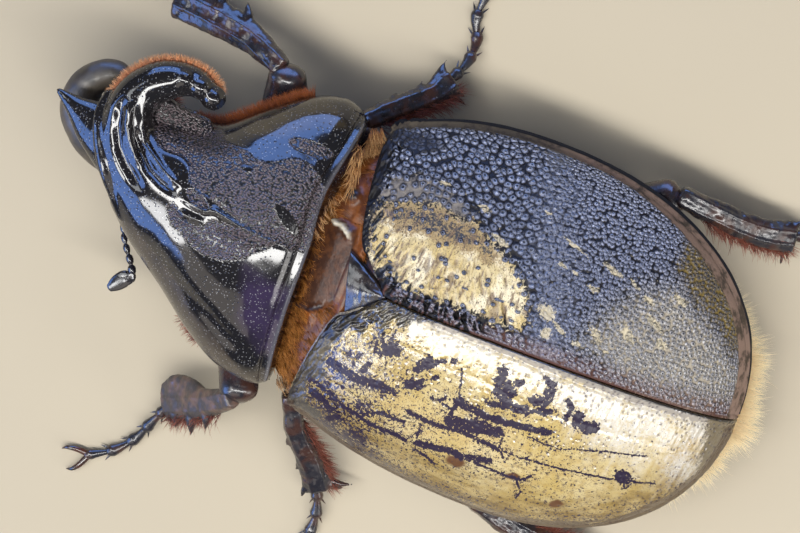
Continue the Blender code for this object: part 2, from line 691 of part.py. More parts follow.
def floor_cutter():
    bm = bmesh.new()
    bmesh.ops.create_cube(bm, size=160 * MM)
    bmesh.ops.translate(bm, vec=(0, 0, -80 * MM), verts=bm.verts)
    return object_from("floor_cut", bm)


def tarsus_bm(leg):
    # Five joints, each drawn in at its root and flared at its end.
    points = LEGS[leg]["tarsus"]
    lengths = chord_lengths(points)
    rings = []
    for segment in range(TARSUS_SEGMENTS):
        for share, size in ((0.0, 0.7), (0.85, 1.12)):
            at = lengths[-1] * (segment + share) / TARSUS_SEGMENTS
            centre = path_point(points, lengths, at)
            ahead = path_direction(points, lengths, at)
            side = ahead.cross(Vector((0.0, 0.0, 1.0))).normalized()
            rise = side.cross(ahead)
            rings.append([centre + (side * math.cos(a) + rise * math.sin(a)) * TARSUS_RADIUS * size
                          for a in (2 * math.pi * (k + 0.5) / 6 for k in range(6))])
    return skin_rings(rings)


def make_leg(leg, finish):
    femur = object_from(leg + "_femur", femur_bm(leg), finish)
    tibia = object_from(leg + "_tibia", tibia_bm(leg), finish)
    fuse(tibia, tibia_spikes(leg), "MANIFOLD")
    carve(tibia, [object_from("femur_cut", femur_bm(leg, GAP))], "MANIFOLD")
    points = LEGS[leg]["tarsus"]
    end = Vector(points[-1])
    ahead = (end - Vector(points[-2])).normalized()
    side = ahead.cross(Vector((0.0, 0.0, 1.0))).normalized()
    tarsus = object_from(leg + "_tarsus", tarsus_bm(leg), finish)
    claws = []
    for way in (1, -1):
        spread = [end - ahead * 0.6, end + ahead * CLAW_LENGTH * 0.45 + side * way * CLAW_SPREAD,
                  end + ahead * CLAW_LENGTH + side * way * CLAW_SPREAD - Vector((0, 0, 0.1))]
        claws.append(object_from("claw", sweep(spread, CLAW_RADII, CLAW_RADII, 5, 3)))
    fuse(tarsus, claws, "MANIFOLD")
    carve(tarsus, [object_from("tibia_cut", tibia_bm(leg, GAP)), floor_cutter()], "MANIFOLD")
    return [femur, tibia, tarsus]


def leg_cutters(legs, pieces=("femur", "tibia")):
    makers = {"femur": femur_bm, "tibia": tibia_bm}
    return [object_from("leg_cut", makers[piece](leg, GAP)) for leg in legs for piece in pieces]


# Hair fringes, as flat overlapping locks

def tail_locks(rng):
    locks = []
    for k in range(TAIL_LOCKS):
        angle = math.radians(TAIL_ARC * (2.0 * (k + 0.5) / TAIL_LOCKS - 1.0))
        ends = []
        for wide, deep in (TAIL_ROOT_RADII, TAIL_TIP_RADII):
            ends.append(Vector((wide * math.sin(angle), TAIL_CENTRE_Y + deep * math.cos(angle), TAIL_HEIGHT)))
        ends[1] += Vector((0.0, rng.uniform(-0.5, 0.6), rng.uniform(-0.4, 0.4)))
        locks.append(object_from("lock", hair_lock(ends[0], ends[1], *TAIL_LOCK)))
    return locks


def shield_locks(rng):
    # Along the front of the right edge of the prothorax.
    locks = []
    first, last = SHIELD_LOCKS_Y
    for k in range(SHIELD_LOCKS):
        y = first + (last - first) * k / (SHIELD_LOCKS - 1)
        values = prothorax_values(y)
        edge = Vector((values[1], y, values[3]))
        tip = edge + Vector(SHIELD_LOCK_TIP) * rng.uniform(0.85, 1.1)
        locks.append(object_from("lock", hair_lock(edge + Vector(SHIELD_LOCK_ROOT), tip, *SHIELD_LOCK)))
    return locks


def horn_locks(rng):
    # Along the outer side of the thoracic horn's curve.
    locks = []
    lengths = chord_lengths(THORACIC_HORN)
    first, last = HORN_LOCKS_SPAN
    for k in range(HORN_LOCKS):
        at = lengths[-1] * (first + (last - first) * k / (HORN_LOCKS - 1))
        centre = path_point(THORACIC_HORN, lengths, at)
        out = Vector((0.0, 0.0, 1.0)).cross(path_direction(THORACIC_HORN, lengths, at)).normalized()
        edge = centre + out * smooth_value(lengths, THORACIC_HORN_WIDTHS, at)
        tip = edge + out * HORN_LOCK_TIP * rng.uniform(0.85, 1.1)
        locks.append(object_from("lock", hair_lock(edge + out * HORN_LOCK_ROOT, tip, *HORN_LOCK)))
    return locks


def main():
    clear_scene()
    rng = random.Random(SEED)
    parts = new_collection("hercules_beetle")
    black = make_material("black_cuticle", (0.012, 0.012, 0.018), 0.25)
    straw = make_material("straw_cuticle", (0.52, 0.38, 0.14), 0.35)
    slate = make_material("slate_cuticle", (0.07, 0.07, 0.075), 0.45)
    amber = make_material("amber_membrane", (0.28, 0.09, 0.02), 0.5)
    eye = make_material("eye_black", (0.01, 0.008, 0.006), 0.12)

    prothorax = make_prothorax("pronotum", black)
    thoracic_horn = part_horn(prothorax, "thoracic_horn", black)
    fuse(prothorax, shield_locks(rng))
    fuse(thoracic_horn, horn_locks(rng))
    head = object_from("head", head_bm(), black)
    cephalic_horn = object_from("cephalic_horn", cephalic_horn_bm(), black)
    eyes = [object_from("eye_left", eye_bm(1), eye), object_from("eye_right", eye_bm(-1), eye)]
    antennae = [make_antenna("antenna_left", ANTENNA_LEFT, black),
                make_antenna("antenna_right", ANTENNA_RIGHT, black)]
    mouth = []
    for word, side in (("left", 1), ("right", -1)):
        mouth.append(make_mouthpart("mandible_" + word, side, MANDIBLE, MANDIBLE_RADII, black))
        mouth.append(make_mouthpart("palp_" + word, side, PALP, PALP_RADII, black))

    scutellum = make_scutellum("scutellum", 0.0, black)
    elytra = [make_elytron("elytron_left", 1, straw), make_elytron("elytron_right", -1, slate)]
    for elytron in elytra:
        carve(elytron, [make_scutellum("scutellum_cut", GAP)])
    collar = make_core("mesothorax", COLLAR_FRONT_Y, COLLAR_REAR_Y, 4, amber)
    metathorax = make_core("metathorax", COLLAR_REAR_Y + GAP, METATHORAX_REAR_Y, 7, black)
    abdomen = make_abdomen("abdomen", METATHORAX_REAR_Y + GAP, 10, black)
    fuse(abdomen, tail_locks(rng))

    legs = []
    for leg in LEGS:
        legs += make_leg(leg, black)

    carve(head, [object_from("horn_cut", cephalic_horn_bm(GAP)), object_from("eye_cut", eye_bm(1, GAP)),
                 object_from("eye_cut", eye_bm(-1, GAP))])
    carve(prothorax, [object_from("head_cut", head_bm(GAP))]
          + leg_cutters(("fore_right", "fore_left", "mid_right", "mid_left")))
    carve(collar, leg_cutters(("mid_right", "mid_left"), ("femur",)) + [make_scutellum("scutellum_cut", GAP)])
    carve(metathorax, leg_cutters(("mid_right", "mid_left", "hind_right", "hind_left"), ("femur",))
          + [make_scutellum("scutellum_cut", GAP)])
    carve(abdomen, leg_cutters(("hind_right", "hind_left"), ("femur",)))

    nodes = [prothorax, thoracic_horn, head, cephalic_horn, scutellum, collar, metathorax, abdomen]
    nodes += eyes + antennae + mouth + elytra + legs
    corners = [v.co for node in nodes for v in node.data.vertices]
    low = Vector([min(c[axis] for c in corners) for axis in range(3)])
    high = Vector([max(c[axis] for c in corners) for axis in range(3)])
    middle = (low + high) / 2
    for node in nodes:
        node.data.transform(Matrix.Translation((-middle.x, -middle.y, 0.0)))
        node.data.shade_smooth()
        node.data.set_sharp_from_angle(angle=math.radians(40))
        bpy.context.scene.collection.objects.unlink(node)
        parts.objects.link(node)


main()
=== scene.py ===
import math

import bmesh
import bpy
import numpy as np
from mathutils import Matrix, Vector


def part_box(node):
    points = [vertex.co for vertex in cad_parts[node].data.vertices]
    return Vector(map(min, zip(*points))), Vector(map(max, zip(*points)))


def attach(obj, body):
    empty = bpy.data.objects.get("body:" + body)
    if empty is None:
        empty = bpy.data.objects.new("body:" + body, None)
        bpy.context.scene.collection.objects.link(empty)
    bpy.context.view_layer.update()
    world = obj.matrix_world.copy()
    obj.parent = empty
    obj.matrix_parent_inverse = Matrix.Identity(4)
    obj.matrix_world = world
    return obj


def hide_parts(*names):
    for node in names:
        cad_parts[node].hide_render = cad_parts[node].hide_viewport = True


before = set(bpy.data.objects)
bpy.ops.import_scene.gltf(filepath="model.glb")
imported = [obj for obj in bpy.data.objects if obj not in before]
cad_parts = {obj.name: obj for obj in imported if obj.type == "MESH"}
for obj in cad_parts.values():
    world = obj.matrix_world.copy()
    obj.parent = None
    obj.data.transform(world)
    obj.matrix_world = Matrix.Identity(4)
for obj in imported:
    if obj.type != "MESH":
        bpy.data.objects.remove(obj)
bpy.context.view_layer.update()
print("frame loaded:", len(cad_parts), "nodes")

# Shapes below are drawn in millimetres round the tip of the scutellum:
# +X the beetle's left, +Y its rear, +Z up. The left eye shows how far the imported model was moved.
mm = 0.001
eyePlace = np.array([2.3, -29.8, 8.6])
shift = np.mean([list(corner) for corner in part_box("eye_left")], axis=0) / mm - eyePlace
shift[2] = 0.0

# Camera: straight above the back, a little from the right side
cameraView = {
    "lens": 140.0,
    "sensor": 36.0,
    "target": (-3.0952, 0.1106, 18.0),
    "towards": (-0.145, 0.05, 1.0),
    "turn": 21.75,          # degrees between the body and the picture's long side
    "distance": 345.68,
    "imageSize": (800, 533),
}


def unit(vectors):
    vectors = np.asarray(vectors, float)
    return vectors / np.maximum(np.linalg.norm(vectors, axis=-1, keepdims=True), 1e-9)


def levelAcross(ahead):
    return unit(np.cross(ahead, [0.0, 0.0, 1.0]))


cameraTurn = math.radians(cameraView["turn"])
axisBack = unit(cameraView["towards"])
axisRight = np.array([-math.sin(cameraTurn), math.cos(cameraTurn), 0.0])
axisRight = unit(axisRight - axisBack * (axisRight @ axisBack))
axisUp = np.cross(axisBack, axisRight)
cameraPlace = np.array(cameraView["target"]) + axisBack * cameraView["distance"]
chartMiddle = np.array(cameraView["imageSize"]) / 2
chartScale = cameraView["lens"] / cameraView["sensor"] * cameraView["imageSize"][0]


def planOf(points):
    # A chart of the back: the camera's view of each point, 9 units to the millimetre.
    away = points - cameraPlace
    depth = -(away @ axisBack)
    return (chartMiddle[0] + chartScale * (away @ axisRight) / depth,
            chartMiddle[1] - chartScale * (away @ axisUp) / depth)


def atPlan(u, v, z):
    # The point at height z under a point of the chart.
    ray = (axisRight * (u - chartMiddle[0]) - axisUp * (v - chartMiddle[1])) / chartScale - axisBack
    return cameraPlace + ray * (z - cameraPlace[2]) / ray[2]


def linkObject(name, data):
    thing = bpy.data.objects.new(name, data)
    bpy.context.scene.collection.objects.link(thing)
    return thing


def standAt(thing, spot, axes):
    turn = Matrix([Vector(axis) for axis in axes]).transposed().to_4x4()
    thing.matrix_world = Matrix.Translation(Vector(spot) * mm) @ turn


def addCamera():
    data = bpy.data.cameras.new("camera")
    data.lens, data.sensor_width = cameraView["lens"], cameraView["sensor"]
    data.clip_start, data.clip_end = 0.01, 10.0
    camera = linkObject("camera", data)
    standAt(camera, cameraPlace + shift, (axisRight, axisUp, axisBack))
    bpy.context.scene.camera = camera


# Noise and masks

hashFactors = np.array([374761393, 668265263, 1274126177])
seedFactor = 144665
low32, low24 = 0xFFFFFFFF, 0xFFFFFF


def hashCells(cells, seed):
    # The same number between 0 and 1 for the same cell and seed.
    n = (cells @ hashFactors + seed * seedFactor) & low32
    for bits, factor in ((13, 1274126177), (15, 2246822519)):
        n = ((n ^ (n >> bits)) * factor) & low32
    return ((n ^ (n >> 16)) & low24) / low24


def valueNoise(points, size, seed):
    p = points / size
    base = np.floor(p).astype(np.int64)
    t = p - base
    t = t * t * (3 - 2 * t)
    total = np.zeros(len(p))
    for corner in range(8):
        offset = np.array([corner & 1, corner >> 1 & 1, corner >> 2 & 1])
        total += np.prod(np.where(offset, t, 1 - t), axis=1) * hashCells(base + offset, seed)
    return total


def cloudNoise(points, size, seed, layers=3):
    # Between 0 and 1, finer and fainter with each layer.
    weights = [1 / 2**k for k in range(layers)]
    return sum(valueNoise(points, size * w, seed + k) * w for k, w in enumerate(weights)) / sum(weights)


def sheetNoise(across, along, up, size, seed, layers=3):
    return cloudNoise(np.stack([across, along, up], axis=1), size, seed, layers)


def cellNoise(across, along, size, seed, jitter):
    # Nearest point of a jittered grid: its distance, the next one's, and the cell's own number.
    p = np.stack([across, along], axis=1) / size
    base = np.floor(p).astype(np.int64)
    near = np.full(len(p), 9.0)
    second, number = near.copy(), np.zeros(len(p))
    for dx in (-1, 0, 1):
        for dy in (-1, 0, 1):
            cell = base + np.array([dx, dy])
            keys = np.concatenate([cell, np.zeros((len(cell), 1), np.int64)], axis=1)
            spot = np.stack([hashCells(keys, seed), hashCells(keys, seed + 7)], axis=1)
            distance = np.linalg.norm(cell + 0.5 + (spot - 0.5) * jitter - p, axis=1)
            closer = distance < near
            second = np.where(closer, near, np.minimum(second, distance))
            number = np.where(closer, hashCells(keys, seed + 13), number)
            near = np.where(closer, distance, near)
    return near * size, second * size, number


def ramp(value, low, high):
    t = np.clip((value - low) / (high - low), 0.0, 1.0)
    return t * t * (3 - 2 * t)


def bell(value, middle, width):
    return np.exp(-((value - middle) / width) ** 2)


def spotSize(u, v, centre, radii, turn):
    # 0 in the middle of a turned ellipse, 1 on its rim.
    angle = math.radians(turn)
    du, dv = u - centre[0], v - centre[1]
    return np.hypot((du * math.cos(angle) + dv * math.sin(angle)) / radii[0],
                    (dv * math.cos(angle) - du * math.sin(angle)) / radii[1])


def spotMask(u, v, spot, soft):
    return 1.0 - ramp(spotSize(u, v, *spot), 1.0 - soft, 1.0 + soft)


def chordLengths(points):
    steps = np.linalg.norm(np.diff(np.asarray(points, float), axis=0), axis=1)
    return np.concatenate([[0.0], np.cumsum(steps)])


def nearLine(u, v, points):
    # Distance to a line, and the share of its length at the nearest place.
    lengths = chordLengths(points)
    best, share = np.full(len(u), 1e9), np.zeros(len(u))
    for k, ((a, b), (c, d)) in enumerate(zip(points, points[1:])):
        du, dv = c - a, d - b
        t = np.clip(((u - a) * du + (v - b) * dv) / (du * du + dv * dv), 0.0, 1.0)
        near = np.hypot(u - a - t * du, v - b - t * dv)
        closer = near < best
        best = np.where(closer, near, best)
        share = np.where(closer, (lengths[k] + t * (lengths[k + 1] - lengths[k])) / lengths[-1], share)
    return best, share


def lineMask(u, v, points, width, soft):
    return 1.0 - ramp(nearLine(u, v, points)[0], width / 2, width / 2 + soft)


def softLine(u, v, points, width):
    # A soft ridge along a line, fading out toward both ends.
    near, share = nearLine(u, v, points)
    return bell(near, 0.0, width) * ramp(share, 0.0, 0.22) * ramp(share, 1.0, 0.78)


def areaMask(u, v, points, soft):
    # Inside a closed outline, fading over the soft width.
    inside = np.zeros(len(u), bool)
    closed = points + points[:1]
    for (a, b), (c, d) in zip(closed, closed[1:]):
        if b != d:
            inside ^= ((b > v) != (d > v)) & (u < (c - a) * (v - b) / (d - b) + a)
    return ramp(np.where(inside, 1.0, -1.0) * nearLine(u, v, closed)[0], -soft, soft)


# Meshes

def smoothValue(stations, values, at):
    stations, values, at = [np.asarray(row, float) for row in (stations, values, at)]
    slopes = np.empty(len(stations))
    slopes[1:-1] = (values[2:] - values[:-2]) / (stations[2:] - stations[:-2])
    slopes[0] = (values[1] - values[0]) / (stations[1] - stations[0])
    slopes[-1] = (values[-1] - values[-2]) / (stations[-1] - stations[-2])
    k = np.clip(np.searchsorted(stations, at, side="right") - 1, 0, len(stations) - 2)
    span = stations[k + 1] - stations[k]
    t = np.clip((at - stations[k]) / span, 0.0, 1.0)
    rise = values[k + 1] - values[k]
    start, end = slopes[k] * span, slopes[k + 1] * span
    return values[k] + start * t + (3 * rise - 2 * start - end) * t**2 + (start + end - 2 * rise) * t**3


def pathPoints(points, shares):
    # Places and directions at shares of a smooth path's length.
    points = np.asarray(points, float)
    lengths = chordLengths(points)
    at = np.asarray(shares, float) * lengths[-1]
    reach = lengths[-1] * 0.01
    spots = (at, np.maximum(at - reach, 0.0), np.minimum(at + reach, lengths[-1]))
    places, before, after = [np.stack([smoothValue(lengths, row, spot) for row in points.T], axis=1)
                             for spot in spots]
    return places, unit(after - before)


def pathPoint(points, share):
    places, ahead = pathPoints(points, [share])
    return places[0], ahead[0]


def superCircle(angles, power):
    c, s = np.cos(angles), np.sin(angles)
    return np.stack([np.sign(c) * np.abs(c) ** (2 / power), np.sign(s) * np.abs(s) ** (2 / power)])


def twoPowerCircle(angles, topPower, lowPower):
    return np.where(np.sin(angles) >= 0, superCircle(angles, topPower), superCircle(angles, lowPower))


def roundAngles(sides):
    return 2 * math.pi * np.arange(sides) / sides


def buildMesh(name, verts, quads=(), tris=()):
    mesh = bpy.data.meshes.new(name)
    quads = np.asarray(quads, np.int32).reshape(-1, 4)
    tris = np.asarray(tris, np.int32).reshape(-1, 3)
    mesh.vertices.add(len(verts))
    mesh.vertices.foreach_set("co", np.asarray(verts, np.float32).ravel())
    corners = np.concatenate([quads.ravel(), tris.ravel()])
    mesh.loops.add(len(corners))
    mesh.loops.foreach_set("vertex_index", corners)
    starts = np.concatenate([np.arange(len(quads)) * 4, len(quads) * 4 + np.arange(len(tris)) * 3])
    mesh.polygons.add(len(starts))
    mesh.polygons.foreach_set("loop_start", starts.astype(np.int32))
    mesh.update(calc_edges=True)
    return linkObject(name, mesh)


def ringFaces(rings, sides, offset=0, closed=True):
    i, j = np.meshgrid(np.arange(rings - 1), np.arange(sides if closed else sides - 1), indexing="ij")
    i, j = i.ravel() * sides + offset, j.ravel()
    n = (j + 1) % sides
    return np.stack([i + j, i + n, i + sides + n, i + sides + j], axis=1)


def loftMesh(name, rings):
    # A closed tube through rings of points, with a pole at each end.
    rings = np.asarray(rings, float)
    count, sides = rings.shape[:2]
    middles = rings.mean(axis=1)
    verts = np.concatenate([rings.reshape(-1, 3), middles[[0, -1]]])
    k = np.arange(sides)
    n = (k + 1) % sides
    first = np.stack([n, k, np.full(sides, count * sides)], axis=1)
    last = np.stack([k, n, np.full(sides, count * sides + 1)], axis=1)
    last[:, :2] += (count - 1) * sides
    quads, tris = ringFaces(count, sides), np.concatenate([first, last])
    half = count // 2
    turning = np.cross(rings[half, 0] - middles[half], rings[half, sides // 4] - middles[half])
    if turning @ (middles[half + 1] - middles[half - 1]) < 0:
        quads, tris = quads[:, ::-1], tris[:, ::-1]
    return buildMesh(name, verts, quads, tris)


def ringsAround(places, ahead, wide, high, sides):
    side = levelAcross(ahead)
    rise = np.cross(side, ahead)
    angles = roundAngles(sides)
    return (places[:, None] + side[:, None] * (wide[:, None] * np.cos(angles))[..., None]
            + rise[:, None] * (high[:, None] * np.sin(angles))[..., None])


def tubePiece(name, points, widths, heights=None, sides=28, steps=40, cap=0.8, capRings=4):
    # cap is the length of the domed ends, as a share of the end's half width.
    bend = np.radians(np.linspace(84.0, 0.0, capRings, endpoint=False))
    shares = np.concatenate([np.zeros(capRings), np.linspace(0.0, 1.0, steps + 1), np.ones(capRings)])
    beyond = np.concatenate([-np.sin(bend) * cap, np.zeros(steps + 1), (np.sin(bend) * cap)[::-1]])
    size = np.concatenate([np.cos(bend), np.ones(steps + 1), np.cos(bend)[::-1]])
    lengths = chordLengths(points)
    places, ahead = pathPoints(points, shares)
    wide = smoothValue(lengths, widths, shares * lengths[-1])
    high = wide if heights is None else smoothValue(lengths, heights, shares * lengths[-1])
    places = places + ahead * (beyond * wide)[:, None]
    return loftMesh(name, ringsAround(places, ahead, wide * size, high * size, sides))


def spikePiece(root, tip, radius, bend=0.0):
    radii = [radius, radius * 0.62, radius * 0.1]
    return tubePiece("spike", [root, (root + tip) / 2 + bend, tip], radii, sides=10, steps=10, cap=0.6)


def joinPieces(name, pieces):
    bm = bmesh.new()
    for piece in pieces:
        bm.from_mesh(piece.data)
        bpy.data.objects.remove(piece, do_unlink=True)
    mesh = bpy.data.meshes.new(name)
    bm.to_mesh(mesh)
    bm.free()
    return linkObject(name, mesh)


def remeshPiece(piece, voxel, smoothing, factor):
    for kind, values in (("REMESH", {"mode": "VOXEL", "voxel_size": voxel}),
                         ("SMOOTH", {"factor": factor, "iterations": smoothing})):
        modifier = piece.modifiers.new(kind.lower(), kind)
        for key, value in values.items():
            setattr(modifier, key, value)
    graph = bpy.context.evaluated_depsgraph_get()
    graph.update()
    mesh = bpy.data.meshes.new_from_object(piece.evaluated_get(graph))
    piece.modifiers.clear()
    piece.data = mesh


def readVectors(items, key):
    values = np.empty(len(items) * 3, np.float32)
    items.foreach_get(key, values)
    return values.reshape(-1, 3).astype(float)


def vertPlaces(piece):
    return readVectors(piece.data.vertices, "co")


def vertNormals(piece):
    return readVectors(piece.data.vertex_normals, "vector")


def setPlaces(piece, places):
    piece.data.vertices.foreach_set("co", places.astype(np.float32).ravel())
    piece.data.update()


def raiseSkin(piece, heights):
    setPlaces(piece, vertPlaces(piece) + vertNormals(piece) * heights[:, None])


def roughen(piece, *layers):
    # Each layer of noise has its size, seed, depth and number of finer layers.
    places = vertPlaces(piece)
    raiseSkin(piece, sum((cloudNoise(places, size, seed, finer) - 0.5) * depth
                         for size, seed, depth, finer in layers))


def paint(piece, name, values):
    layer = piece.data.attributes.new(name, "FLOAT", "POINT")
    layer.data.foreach_set("value", np.asarray(values, np.float32))


def finishPiece(piece, material, nodesReplaced=()):
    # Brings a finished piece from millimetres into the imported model's frame and puts it on its one body.
    setPlaces(piece, (vertPlaces(piece) + shift) * mm)
    piece.data.shade_smooth()
    piece.data.materials.clear()
    piece.data.materials.append(material)
    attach(piece, "root")
    if nodesReplaced:
        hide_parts(*nodesReplaced)
    return piece


# Materials: newMaterial begins one, and the helpers after it add nodes to the one begun last

tree = None


class Value:
    # A value of the node tree, which + - and * join by a node of their own.
    def __init__(self, socket):
        self.socket = socket

    def __add__(self, other):
        return mathNode("ADD", self, other)

    def __sub__(self, other):
        return mathNode("SUBTRACT", self, other)

    def __rsub__(self, other):
        return mathNode("SUBTRACT", other, self)

    def __mul__(self, other):
        return mathNode("MULTIPLY", self, other)


def newMaterial(name):
    global tree
    material = bpy.data.materials.new(name)
    material.use_nodes = True
    tree = material.node_tree
    return material


def setInput(socket, value):
    if isinstance(value, Value):
        tree.links.new(value.socket, socket)
    else:
        socket.default_value = (*value, 1.0) if socket.type == "RGBA" else value


def addNode(kind, inputs, output=0, **settings):
    node = tree.nodes.new("ShaderNode" + kind)
    for key, value in settings.items():
        setattr(node, key, value)
    for key, value in inputs.items():
        setInput(node.inputs[key], value)
    return Value(node.outputs[output])


def mathNode(operation, a, b=0.5, clamp=False):
    return addNode("Math", {0: a, 1: b}, operation=operation, use_clamp=clamp)


def larger(a, b):
    return mathNode("MAXIMUM", a, b)


def blend(factor, a, b):
    return addNode("Mix", {"Factor": factor, 6: a, 7: b}, 2, data_type="RGBA")


def place():
    return addNode("TexCoord", {}, "Object")


def mask(name):
    return addNode("Attribute", {}, "Fac", attribute_name=name)


def noise(size, detail=3.0, roughness=0.55, stretch=None, distortion=0.0):
    # size is the length of one wave in millimetres
    vector = place()
    if stretch:
        vector = addNode("Mapping", {"Vector": vector, "Scale": stretch})
    return addNode("TexNoise", {"Vector": vector, "Scale": 1.0 / (size * mm), "Detail": detail,
                                "Roughness": roughness, "Distortion": distortion})


def dotDistance(size):
    return addNode("TexVoronoi", {"Vector": place(), "Scale": 1.0 / (size * mm), "Randomness": 0.8})


def step(value, low, high, floor=0.0, top=1.0):
    inputs = {"Value": value, "From Min": low, "From Max": high, "To Min": floor, "To Max": top}
    return addNode("MapRange", inputs, interpolation_type="SMOOTHSTEP")


def bump(height, depth, strength=1.0, normal=None):
    # depth in millimetres
    inputs = {"Height": height, "Distance": depth * mm, "Strength": strength}
    return addNode("Bump", inputs if normal is None else {**inputs, "Normal": normal})


def pits(size, radius, depth, normal=None):
    # Fine punctures: small round hollows.
    return bump(step(dotDistance(size), 0.0, radius), depth, 1.0, normal)


def setShader(material, **inputs):
    names = {"colour": "Base Color", "ior": "IOR", "coat": "Coat Weight", "coatRoughness": "Coat Roughness",
             "specular": "Specular IOR Level"}
    for key, value in inputs.items():
        setInput(tree.nodes["Principled BSDF"].inputs[names.get(key, key.capitalize())], value)
    return material


# Shield and thoracic horn, one skin

shieldShape = {
    # y, left edge, right edge, edge height left, edge height right, crest x, crest height, underside
    "stations": [
        (-9.2, 15.0, -16.4, 14.2, 14.2, -1.0, 21.6, 5.2),
        (-10.4, 15.9, -17.5, 14.2, 14.2, -1.0, 22.8, 4.8),
        (-12.5, 16.0, -18.0, 14.2, 14.2, -1.0, 24.0, 4.4),
        (-16.0, 15.2, -16.9, 14.2, 14.2, -1.2, 25.1, 4.0),
        (-20.0, 12.8, -13.9, 14.3, 14.4, -1.6, 25.6, 4.2),
        (-24.0, 9.7, -10.6, 14.6, 14.8, -2.4, 25.5, 6.5),
        (-27.0, 7.5, -10.0, 15.2, 15.4, -3.0, 25.1, 12.5),
        (-29.5, 5.5, -9.7, 16.0, 16.0, -3.5, 24.7, 15.2),
        (-32.5, 2.4, -8.6, 17.6, 17.4, -4.4, 24.1, 16.4),
    ],
    "topPower": 2.15,
    "underPower": 1.45,
    "bowAcross": [-18.0, -13.5, -8.0, -2.0, 6.0, 12.0, 16.0],
    "bow": [0.0, 0.1, 1.2, 0.7, 0.6, 0.3, 0.0],
    "bowRun": 2.5,
    "horn": [(-1.6, -25.5, 19.6), (-3.0, -29.8, 20.4), (-5.6, -32.8, 21.3), (-8.9, -33.7, 22.0),
             (-11.5, -32.9, 22.3), (-13.4, -31.0, 22.5), (-14.3, -28.6, 22.3), (-14.1, -26.8, 22.0),
             (-13.2, -25.5, 21.6)],
    "hornWidths": [5.0, 4.8, 3.7, 2.7, 2.45, 2.25, 1.8, 1.45, 1.0],
    "hornHeights": [4.2, 4.0, 3.3, 2.9, 2.7, 2.4, 2.0, 1.6, 1.0],
    "tooth": [(-4.2, -33.4, 20.6), (-5.85, -37.6, 19.9), (-6.75, -40.2, 19.6), (-7.6, -42.3, 19.5)],
    "toothWidths": [3.6, 2.5, 1.2, 0.4],
    "toothHeights": [2.4, 1.5, 0.85, 0.35],
    "knob": [(-8.6, -27.6, 15.8), (-10.2, -29.3, 16.2)],
    "knobRadii": [1.6, 0.75],
    "sides": 120,
    "rings": 80,
    "voxel": 0.2,
}
shieldRows = np.array(shieldShape["stations"])[::-1]
shieldRear = shieldShape["stations"][0][0]


def shieldRow(column, y):
    return smoothValue(shieldRows[:, 0], shieldRows[:, column], y)


def rearBow(x, rise=1.0):
    # How far the shield's rear edge reaches forward of a straight line.
    return smoothValue(shieldShape["bowAcross"], shieldShape["bow"], x) * np.sqrt(np.maximum(rise, 0.0))


def shieldRing(y):
    shape = shieldShape
    left, right, edgeLeft, edgeRight, crestX, crest, under = [float(shieldRow(n, y)) for n in range(1, 8)]
    across, rise = twoPowerCircle(roundAngles(shape["sides"]), shape["topPower"], shape["underPower"])
    edge = np.where(across > 0, edgeLeft, edgeRight)
    x = crestX + across * np.where(across > 0, left - crestX, crestX - right)
    z = edge + rise * np.where(rise >= 0, crest - edge, edge - under)
    nearRear = max(1.0 - (shieldRear - y) / shape["bowRun"], 0.0)
    return np.stack([x, y - rearBow(x, rise) * nearRear, z], axis=1)


